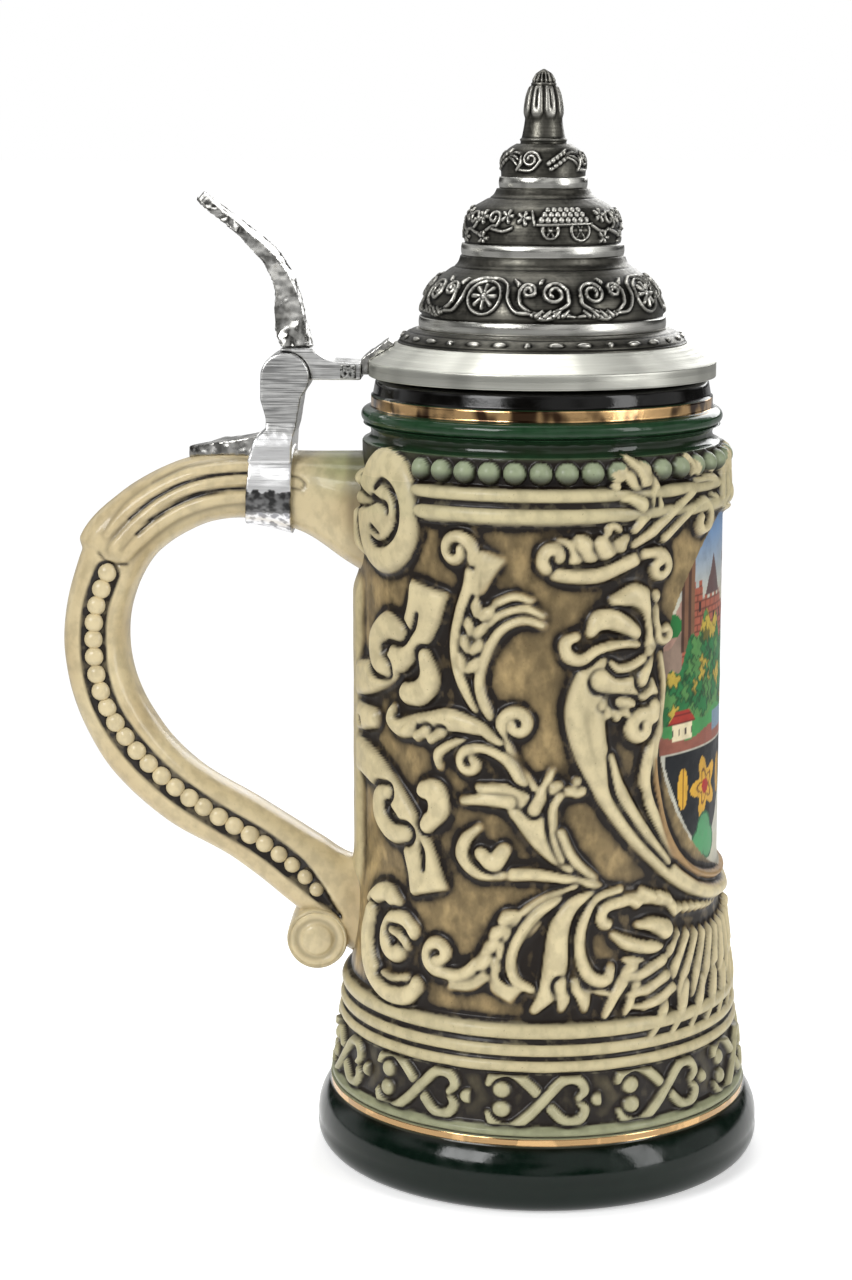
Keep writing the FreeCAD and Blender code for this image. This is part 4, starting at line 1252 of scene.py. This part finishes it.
def make_handle():
    rows = curve(HANDLE, 0.42)[0]
    rows = rows[(rows[:, 0] + rows[:, 2]) / 2 < ROOT_X - 0.4]
    points, normal, outward = handle_grid(rows)
    ornament = handle_ornament()
    height = ornament.at(points[..., 0], points[..., 2])
    facing = step(0.25, 0.8, np.abs(normal[..., 1]))
    rng = np.random.default_rng(8)
    uneven = blur(rng.normal(size=height.shape), 6, 5) * 0.5
    z = points[..., 2]
    bend = 1.5 * step(149, 138.6, z) * step(135.8, 138.2, z) * step(0.3, 0.9, outward)
    points = points + normal * (height * facing + uneven + bend)[..., None]
    points[..., 0] = np.minimum(points[..., 0], ROOT_X)
    ornament.h = np.clip(blur(ornament.h, 3.2, 3.2, wrap=False) - ornament.h, 0, 1) * 2.6
    # The bead channel is darkened all over: brown wash and painted shade.
    window, ratio = ornament.near(BEAD_ROW + [CHANNEL_END], [3.0] * 10 + [2.2, 0.3])[:2]
    ornament.h[window] = np.maximum(ornament.h[window], step(1.1, 0.85, ratio))
    wash_and_shade = np.clip(ornament.at(points[..., 0], points[..., 2]), 0, 1) * facing
    low = step(0.1, 0.9, blur(rng.normal(size=height.shape), 16, 10) * 9 + 0.4)[..., None]
    colour = HANDLE_CREAM + (HANDLE_TAN - HANDLE_CREAM) * low * 0.45
    green = (step(-54, -43, points[..., 0]) * step(146, 156, points[..., 2]))[..., None]
    colour = colour + (HANDLE_GREEN - colour) * green * 0.75
    # Painted shade where the handle's upper root meets the body.
    root = step(-43.5, -40.5, points[..., 0]) * step(128, 150, points[..., 2])
    skin = Skin()
    skin.grid(points, plain_masks(points, colour, np.clip(wash_and_shade + 0.5 * root, 0, 1)))
    add_handle_beads(skin, rows)
    add_handle_scroll(skin)
    piece = skin.build("handle_glazed", [HANDLE_CLAY])
    return settle(piece, "vessel", "stoneware", "handle")


def ball_grid(rows=12, cols=20):
    """Unit sphere as a grid, with its poles left to the caps."""
    t = np.linspace(0.06, math.pi - 0.06, rows)[:, None]
    p = angles(cols)[None, :]
    return np.stack([np.sin(t) * np.cos(p), np.sin(t) * np.sin(p), -np.cos(t) + 0 * p], -1)


def plain_masks(points, colour, wash_and_shade=0.0):
    masks = np.zeros(points.shape[:2] + (5,))
    masks[..., :3] = colour
    masks[..., 3] = 1
    masks[..., 4] = wash_and_shade
    return masks


def add_handle_beads(skin, rows):
    path = curve(BEAD_ROW, 0.2)[0]
    centres = (rows[:, :2] + rows[:, 2:4]) / 2
    for i in range(HANDLE_BEADS):
        x, z = path[int(round(i / (HANDLE_BEADS - 1) * (len(path) - 1)))]
        k = int(np.argmin(np.hypot(centres[:, 0] - x, centres[:, 1] - z)))
        half = rows[k, 4] / 2
        size = 2.15 - 0.1 * max(0, i - 19)
        for side in (-1, 1):
            ball = ball_grid()
            shape = ball * (size, 1.55, size) + (x, side * (half - 1.35), z)
            if i % 2:
                shape[..., 1] += side * 0.12
            # Each bead darkens where it sinks into the channel: brown wash and painted shade.
            channel_wash_and_shade = np.clip((half - 1.1 - side * shape[..., 1]) / 0.9, 0, 1)
            skin.grid(shape, plain_masks(shape, HANDLE_CREAM, channel_wash_and_shade))


def add_handle_scroll(skin):
    """Rolled lower end of the handle: a drum across Y with a raised ring and a boss."""
    moves = [(6.2, -8.5), (6.8, -7.9), (6.8, 7.9), (6.2, 8.5)]
    face = [(5.9, 8.75), (5.2, 8.8), (4.6, 8.5), (4.1, 8.45), (3.6, 8.7), (3.2, 9.15), (2.2, 9.45),
            (1.0, 9.6)]
    outline = [(r, -y) for r, y in reversed(face)] + moves + face
    ry = curve(outline, 0.5)[0]
    a = angles(72)
    x = SCROLL[0] + ry[:, :1] * np.cos(a)
    z = SCROLL[1] - ry[:, :1] * np.sin(a)
    points = np.stack([x, np.repeat(ry[:, 1:], len(a), 1), z], -1)
    masks = plain_masks(points, HANDLE_CREAM)
    ring = np.exp(-((ry[:, 0] - 4.35) / 0.5) ** 2) * (np.abs(ry[:, 1]) > 8.3)
    masks[..., 4] = 0.32 * ring[:, None]
    skin.grid(points, masks)


# ------------------------------------------------------------------- lid

RING_STEPS = 16


class Frieze(Field):
    """One repeat of a cast frieze: strokes of one height over a plain ground."""

    def __init__(self, length, height, lift, moat, turn=0.0):
        super().__init__(-1.0, length + 1.0, -0.5, height + 0.5, 0.12)
        self.turn = turn
        self.lift = lift
        self.soft = dict(moat=moat, floor=0.05)

    def line(self, points, *widths):
        """A stroke; a single width is kept all along."""
        if len(widths) == 1:
            widths = widths * len(points)
        self.stroke(points, list(widths), self.lift, 2.0, **self.soft)

    def curl(self, tail, centre, r, start, turns, width):
        volute(self, tail, centre, r, start, turns, width, self.lift, **self.soft)

    def flower(self, centre, inner, outer, count, width, height=None):
        for a in angles(count):
            c = math.cos(a)
            s = math.sin(a)
            ends = [(centre[0] + reach * c, centre[1] + reach * s) for reach in (inner, outer)]
            self.stroke(ends, [width * 0.7, width], height or self.lift, 2.0, moat=0.15, floor=0.05)

    def ring(self, centre, r, width):
        points = []
        for k in range(RING_STEPS + 1):
            a = 2 * math.pi * k / RING_STEPS
            points.append((centre[0] + r * math.cos(a), centre[1] + r * math.sin(a)))
        self.stroke(points, [width] * len(points), self.lift, 2.0, moat=0.2, floor=0.05)


def scroll_frieze():
    """Half a repeat of the lower tier: two wound scrolls, and half a flower in a ring."""
    f = Frieze(20, 10, 0.62, 0.25, -7.0)
    f.curl([(9.4, 1.6), (5.4, 1.5), (1.8, 3.2)], (4.3, 5.8), 3.1, 200, -1.7, 0.36)
    f.curl([(9.4, 1.6), (11.6, 3.4), (12.0, 6.0)], (9.9, 6.4), 2.0, 0, 1.5, 0.36)
    f.line([(0.4, 0.7), (3, 1.0), (7, 0.6), (10.2, 1.5)], 0.25, 0.6, 0.75, 0.3)
    for x in (1.6, 3.4, 5.2, 7.0):
        f.line([(x + 1.2, 0.9), (x, 2.0)], 0.5, 0.2)
    f.line([(9.8, 1.4), (12.6, 1.8), (14.4, 4.4), (15.0, 7.8), (17.4, 9.6), (20.4, 9.8)], 0.36)
    f.line([(12.4, 8.2), (13.6, 9.4)], 0.6, 0.3)
    f.line([(7.4, 8.6), (6.6, 9.7)], 0.5, 0.25)
    f.ring((20, 5.0), 3.9, 0.3)
    f.flower((20, 5.0), 0.9, 2.6, 8, 0.5)
    f.boss((20, 5.0), 0.75, f.lift + 0.1, 0.15)
    return f


def cart_frieze():
    """One repeat of the middle tier: a barrel cart between hop vines."""
    f = Frieze(35.2, 8, 0.55, 0.2, 15.2)
    for x, r in ((8, 1.7), (14.6, 2.1)):
        f.ring((x, 2.4), r, 0.26)
        f.flower((x, 2.4), 0.3, r - 0.3, 6, 0.15, f.lift * 0.8)
        f.boss((x, 2.4), 0.4, f.lift, 0.1)
    f.line([(4.6, 3.6), (17.6, 3.8)], 0.3)
    f.line([(4.6, 3.6), (4.0, 6.6)], 0.3)
    for row in range(3):
        for k in range(8 - row):
            f.boss((6.1 + 1.45 * k + 0.72 * row, 4.6 + 1.2 * row), 0.72, f.lift, 0.15)
    f.curl([(17.6, 3.4), (20, 2.2), (23, 2.6)], (23.4, 4.8), 2.2, 280, 1.2, 0.34)
    f.curl([(23, 2.4), (26.4, 1.6), (30, 3.2)], (30.2, 5.0), 1.9, 300, 1.2, 0.34)
    f.line([(30, 2.6), (33, 2.2), (36, 3.4)], 0.34)
    for place in ((20.4, 5.6), (26.8, 5.2), (33.6, 5.4), (20.8, 0.8), (27.4, 0.6), (2.2, 5.0)):
        f.flower(place, 0.4, 1.3, 5, 0.45)
    return f


def leaf_frieze():
    """One repeat of the upper tier: an ear of barley lying across a wound leaf."""
    f = Frieze(14.2, 6, 0.5, 0.15)
    for k in range(5):
        for lift in (-0.55, 0.55):
            x = 1.4 + 0.95 * k - 0.5 * lift
            z = 1.7 + 0.62 * k + lift
            f.line([(x, z), (x + 0.7, z + 0.55 + 0.3 * lift)], 0.5, 0.3)
    for k in range(3):
        f.line([(5.6, 4.4 - 0.4 * k), (7.2, 4.7 - 0.9 * k), (8.6, 4.5 - 1.5 * k)], 0.22, 0.3, 0.15)
    f.curl([(8.4, 1.0), (11.6, 0.9), (13.4, 2.8)], (11.4, 3.2), 2.0, 0, 1.5, 0.3)
    f.line([(8.2, 0.9), (9.2, 2.4), (9.0, 3.8)], 0.3, 0.55, 0.2)
    return f


def patina_masks(out, rubbed=0.9):
    """Rubbed highs and black hollows for a cast surface with heights out."""
    masks = np.zeros(out.shape + (5,))
    masks[..., 3] = step(0.16, 0.46, out) * rubbed
    masks[..., 4] = np.clip((blur(out, 2.0, 2.4) - out) / 0.1, 0, 1) * 0.95
    return masks


def embossed(name, node, rz, first, relief, slots, materials):
    """A hollow turned piece of the lid, whose rows from first on carry the cast relief."""
    around = relief.shape[1]
    rows = slice(first, first + len(relief))
    out = np.zeros((len(rz), around))
    out[rows] = relief
    masks = np.zeros(out.shape + (5,))
    masks[rows] = patina_masks(relief)
    skin = Skin()
    skin.grid(turned(rz, out, around), masks, slots, loop=True)
    return settle(skin.build(name, materials), "lid", "pewter", node)


def wrapped(f, period, reach, t, mirrored=False):
    """Heights of a repeating frieze round a ring; reach is arc length, t the way up."""
    s = (reach + f.turn) % period
    if mirrored:
        s = np.minimum(s, period - s)
    return f.at(s, t)


LOWER_DOME = [(26.4, 187.6), (26.1, 190.2), (25.2, 192.8), (23.4, 195.2), (20.6, 197.4), (18.6, 198.8),
              (17.8, 200.6)]
MIDDLE_DOME = [(17.0, 203.2), (16.9, 206.4), (16.3, 209.0), (14.9, 211.0), (12.6, 212.4), (10.8, 213.5),
               (10.0, 214.9)]
UPPER_DOME = [(9.1, 217.4), (9.15, 219.4), (8.8, 221.4), (7.7, 223.2), (5.8, 224.4)]


def tier(name, node, band, dome, wall, frieze, repeats, start, around, mirrored=False, grooves=()):
    """A turned tier of the lid: polished band below, cast dome above, hollow inside."""
    (r_band, z0, z1) = band
    bow = trace((r_band, z0), swell(z0, z1, r_band, 0.2)[1:], 0.25)
    low = np.vstack([[(r_band - wall, z0)], bow])
    up = curve(dome, 0.24)[0]
    slope = np.gradient(up, axis=0)
    size = np.hypot(slope[:, 0], slope[:, 1])[:, None]
    inner = up + 1.8 * np.stack([-slope[:, 1], slope[:, 0]], -1) / size
    inner[:, 1] = np.minimum(inner[:, 1], up[-1, 1])
    inner = inner[inner[:, 0] < r_band - wall][::-6]
    inside = np.vstack([[(up[-1, 0] - 1.8, up[-1, 1])], inner, [(r_band - wall, z1)]])
    rz = np.vstack([low, up, inside])
    t = travelled(up)
    radius = dome[0][0]
    phi = angles(around)
    period = 2 * math.pi * radius / repeats
    way = np.repeat(t[:, None] - start, around, 1)
    reach = np.repeat((radius * phi)[None], len(up), 0)
    scale = period / ((frieze.s[-1] - 1.0) * (2 if mirrored else 1))
    relief = wrapped(frieze, period / scale, reach / scale, way, mirrored)
    relief = np.where((way > -0.3) & (way < frieze.z[-1] - 0.2), relief, 0)
    for place in grooves:
        relief = relief - 0.22 * np.exp(-((t[:, None] - place) / 0.16) ** 2)
    rng = np.random.default_rng(len(name))
    relief = relief + blur(rng.normal(size=relief.shape), 2, 2) * 0.05
    slots = np.full(len(rz), 1)
    slots[:len(low)] = 0
    slots[0] = 2
    slots[len(low) + len(up):] = 2
    return embossed(name, node, rz, len(low), relief, slots, [BRIGHT, PATINA, INNER_PEWTER])


DASHES = 32


def make_rim():
    rz = trace((31.9, 174.7), [(37.66, 174.7), (37.84, 174.76), (37.9, 174.9), (37.9, 177.8), (37.84, 177.98),
                               (37.6, 178.1)], 0.3)
    cone = trace((37.6, 178.1), [(31.5, 181.9)], 0.3)[1:]
    under = np.array([(30.3, 180.6), (34.8, 176.8), (31.9, 176.8)])
    rz = np.vstack([rz, cone, under])
    slots = np.zeros(len(rz), int)
    slots[-4:] = 1
    skin = Skin()
    skin.grid(turned(rz, None, 256), None, slots, loop=True)
    return settle(skin.build("lid_rim_turned", [TURNED, INNER_PEWTER]), "lid", "pewter", "lid_rim")


def make_border():
    """Blackened ring above the rim, with a row of raised oval dashes."""
    top = trace((31.5, 181.9), [(31.35, 182.3), (29.6, 184.0, 27.4, 184.9)], 0.22)
    rz = np.vstack([top, [(25.2, 184.9), (30.3, 180.6)]])
    t = travelled(top)[:, None]
    turn = angles(512) * DASHES / (2 * math.pi)
    s = (turn % 1 - 0.5) * 2 * math.pi * 30.4 / DASHES
    long = np.where(np.floor(turn) % 3 == 1, 0.7, 1.6)
    q = np.hypot((s / long)[None], (t - 1.9) / 0.62)
    relief = 0.5 * np.sqrt(np.clip(1 - q ** 2, 0, 1))
    relief = relief - 0.2 * np.exp(-((t - 0.55) / 0.16) ** 2) - 0.2 * np.exp(-((t - 3.6) / 0.16) ** 2)
    slots = np.zeros(len(rz), int)
    slots[-3:] = 1
    return embossed("lid_border_cast", "lid_border", rz, 0, relief, slots, [PATINA, INNER_PEWTER])


def make_finial():
    """Stem with hanging petals under a small fluted cap."""
    side = [(5.0, 224.4), (4.5, 226.6), (4.05, 229.4), (3.95, 232.0), (3.5, 234.6), (2.5, 237.0),
            (1.1, 239.4), (0.25, 240.15)]
    rz = curve(side, 0.16)[0]
    around = 192
    phi = angles(around)
    z = rz[:, 1:]
    wave = np.abs(((phi * 8 / (2 * math.pi)) % 1) - 0.5)[None] * 2
    tongue = step(0.0, 0.5, 1 - wave - 0.35 * step(231.4, 229.2, z))
    tongue = tongue * step(228.8, 231.0, z) * step(237.0, 236.0, z)
    middle = 0.3 * np.exp(-(((1 - wave) - 1.0) / 0.16) ** 2) * step(231, 233, z) * step(236.6, 235.4, z)
    flutes = 0.22 * np.cos(phi * 14)[None] * step(237.0, 237.6, z) * step(239.6, 238.8, z)
    collar = 0.3 * np.exp(-((z - 237.0) / 0.22) ** 2) + 0.3 * np.exp(-((z - 225.2) / 0.3) ** 2)
    out = (0.42 * tongue - middle + flutes + collar + 0.2 * step(237.2, 237.8, z)) * step(240.1, 239.2, z)
    skin = Skin()
    skin.grid(turned(rz, out, around), patina_masks(out, 0.5))
    return settle(skin.build("finial_cast", [PATINA]), "lid", "pewter", "finial")


# ----------------------------------------------------------------- hinge

def rough_skin(p, depth, grain, dents):
    """Height of a cast or hammered surface at p."""
    bump = noise.noise(p / grain) * depth
    if dents:
        bump += dents * (noise.noise(p / (grain * 1.9)) - 0.15)
    return bump


def cast_piece(name, node, body, material, voxel, depth, grain, dents=0.0, soften=2, trim=0.0):
    """A CAD part's shape with softened edges and the uneven skin of cast and filed pewter."""
    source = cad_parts[node]
    piece = bpy.data.objects.new(name, source.data.copy())
    bpy.context.scene.collection.objects.link(piece)
    piece.data.materials.clear()
    remesh = piece.modifiers.new("remesh", "REMESH")
    remesh.mode = "VOXEL"
    remesh.voxel_size = voxel * MM
    relax = piece.modifiers.new("relax", "SMOOTH")
    relax.factor = 0.5
    relax.iterations = soften
    bpy.context.view_layer.update()
    solid = piece.evaluated_get(bpy.context.evaluated_depsgraph_get())
    mesh = bpy.data.meshes.new_from_object(solid)
    piece.modifiers.clear()
    piece.data = mesh
    count = len(mesh.vertices)
    co = np.zeros(count * 3, np.float32)
    normal = np.zeros(count * 3, np.float32)
    mesh.vertices.foreach_get("co", co)
    mesh.vertex_normals.foreach_get("vector", normal)
    co = co.reshape(-1, 3)
    lift = np.array([rough_skin(Vector(p) / MM, depth, grain, dents) for p in co]) - trim
    co = co + normal.reshape(-1, 3) * lift[:, None] * MM
    mesh.vertices.foreach_set("co", co.astype(np.float32).ravel())
    mesh.update()
    mesh.polygons.foreach_set("use_smooth", np.ones(len(mesh.polygons), bool))
    mesh.materials.clear()
    mesh.materials.append(material)
    return settle(piece, body, "pewter", node)


# ------------------------------------------------------- camera and light

LENS = 79.86
CAMERA_AT = (0.0, -620.8, 232.0)
CAMERA_PITCH = math.radians(10.62)
CAMERA_YAW = math.radians(2.334)
FLOOR_HALF = 12000
FLOOR_DROP = -0.05
FLOOR_GLOW = 0.5
# Name, place, size and power of each soft box.
LIGHTS = [
    ("key", (-620, -760, 620), (460, 460), 6.8),
    ("fill", (900, -560, 420), (300, 900), 4.6),
    ("top", (-100, 200, 1000), (600, 600), 3.4),
    ("back", (300, 900, 500), (700, 500), 3.2),
]
LIGHT_TARGET = (0, 0, 110)


def make_camera():
    data = bpy.data.cameras.new("camera")
    data.lens = LENS
    data.sensor_width = 36.0
    data.clip_start = 0.01
    camera = bpy.data.objects.new("camera", data)
    camera.location = [MM * c for c in CAMERA_AT]
    camera.rotation_euler = (math.pi / 2 - CAMERA_PITCH, 0, CAMERA_YAW)
    bpy.context.scene.collection.objects.link(camera)
    bpy.context.scene.camera = camera


def make_light(name, place, size, power):
    data = bpy.data.lights.new(name, "AREA")
    data.shape = "RECTANGLE"
    data.size = size[0] * MM
    data.size_y = size[1] * MM
    data.energy = power
    lamp = bpy.data.objects.new(name, data)
    lamp.location = [MM * c for c in place]
    aim = Vector(LIGHT_TARGET) - Vector(place)
    lamp.rotation_euler = aim.to_track_quat("-Z", "Y").to_euler()
    bpy.context.scene.collection.objects.link(lamp)


def make_world():
    """White where the camera sees it; as a light it is broken by soft darker flags."""
    world = bpy.data.worlds.new("studio")
    world.use_nodes = True
    bpy.context.scene.world = world
    tree = world.node_tree
    seen = tree.nodes["Background"]
    seen.inputs["Strength"].default_value = 1.0
    seen.inputs["Color"].default_value = grey(1.0)
    lit = tree.nodes.new("ShaderNodeBackground")
    place = tree.nodes.new("ShaderNodeTexCoord")
    flags = tree.nodes.new("ShaderNodeTexNoise")
    flags.inputs["Scale"].default_value = 1.7
    flags.inputs["Detail"].default_value = 1.0
    depth = tree.nodes.new("ShaderNodeMapRange")
    for socket, number in (("From Min", 0.42), ("From Max", 0.58), ("To Min", 0.05), ("To Max", 0.85)):
        depth.inputs[socket].default_value = number
    path = tree.nodes.new("ShaderNodeLightPath")
    mix = tree.nodes.new("ShaderNodeMixShader")
    tree.links.new(place.outputs["Generated"], flags.inputs["Vector"])
    tree.links.new(flags.outputs["Fac"], depth.inputs["Value"])
    tree.links.new(depth.outputs["Result"], lit.inputs["Strength"])
    tree.links.new(path.outputs["Is Camera Ray"], mix.inputs[0])
    tree.links.new(lit.outputs[0], mix.inputs[1])
    tree.links.new(seen.outputs[0], mix.inputs[2])
    tree.links.new(mix.outputs[0], tree.nodes["World Output"].inputs["Surface"])


def make_floor():
    """Pale floor that takes a soft shadow close by and fades into the white surround."""
    n = Nodes("floor_white", Roughness=0.8, Emission_Strength=1.0)
    length = n.add("ShaderNodeVectorMath", operation="LENGTH")
    n.link(n.place(), length.inputs[0])
    far = n.span(length.outputs["Value"], 130 * MM, 460 * MM)
    n.link(n.mix(far, rgba(236, 236, 236), grey(0.0)), n.bsdf.inputs["Base Color"])
    seen = n.add("ShaderNodeLightPath").outputs["Is Camera Ray"]
    glow = n.mix(far, grey(FLOOR_GLOW), grey(1.0))
    n.link(n.mix(seen, grey(0.35), glow), n.bsdf.inputs["Emission Color"])
    half = FLOOR_HALF * MM
    drop = FLOOR_DROP * MM
    mesh = bpy.data.meshes.new("floor")
    corners = [(-half, -half, drop), (half, -half, drop), (half, half, drop), (-half, half, drop)]
    mesh.from_pydata(corners, [], [(0, 1, 2, 3)])
    mesh.materials.append(n.material)
    floor = bpy.data.objects.new("floor", mesh)
    bpy.context.scene.collection.objects.link(floor)


def make_studio():
    """Pale floor, white surround and four soft boxes."""
    bpy.context.scene.view_settings.view_transform = "Standard"
    make_world()
    make_floor()
    for light in LIGHTS:
        make_light(*light)


# ------------------------------------------------------------------ parts

make_camera()
make_studio()
make_body()
make_handle()
make_rim()
make_border()
tier("lower_tier_cast", "lid_lower_tier", (26.7, 184.9, 187.6), LOWER_DOME, 2.1, scroll_frieze(), 4, 0.7,
     560, mirrored=True, grooves=(0.3, 13.6))
tier("middle_tier_cast", "lid_middle_tier", (17.5, 200.6, 203.2), MIDDLE_DOME, 2.3, cart_frieze(), 3, 0.9,
     480, grooves=(0.3, 12.2))
tier("upper_tier_cast", "lid_upper_tier", (9.4, 214.9, 217.4), UPPER_DOME, 2.4, leaf_frieze(), 4, 0.6, 288)
make_finial()
cast_piece("hinge_post_filed", "hinge_post", "vessel", STRAP, 0.32, 0.06, 1.6)
cast_piece("handle_band_hammered", "handle_band", "vessel", STRAP, 0.3, 0.07, 2.2, 0.1)
cast_piece("handle_tang_cast", "handle_tang", "vessel", CAST, 0.3, 0.15, 1.4, 0.3)
cast_piece("lid_arm_filed", "lid_arm", "lid", FILED, 0.32, 0.06, 1.6)
cast_piece("arm_tail_cast", "arm_tail", "lid", CAST, 0.25, 0.12, 1.3, 0.25)
cast_piece("thumblift_cast", "thumblift", "lid", CAST, 0.28, 0.3, 1.6, 0.4, trim=0.5)
for node, material in (("arm_rosette_near", STAMPED), ("arm_rosette_far", STAMPED), ("hinge_pin", PIN_STEEL),
                       ("lid_flange", INNER_PEWTER)):
    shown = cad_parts[node].data.materials
    shown.clear()
    shown.append(material)
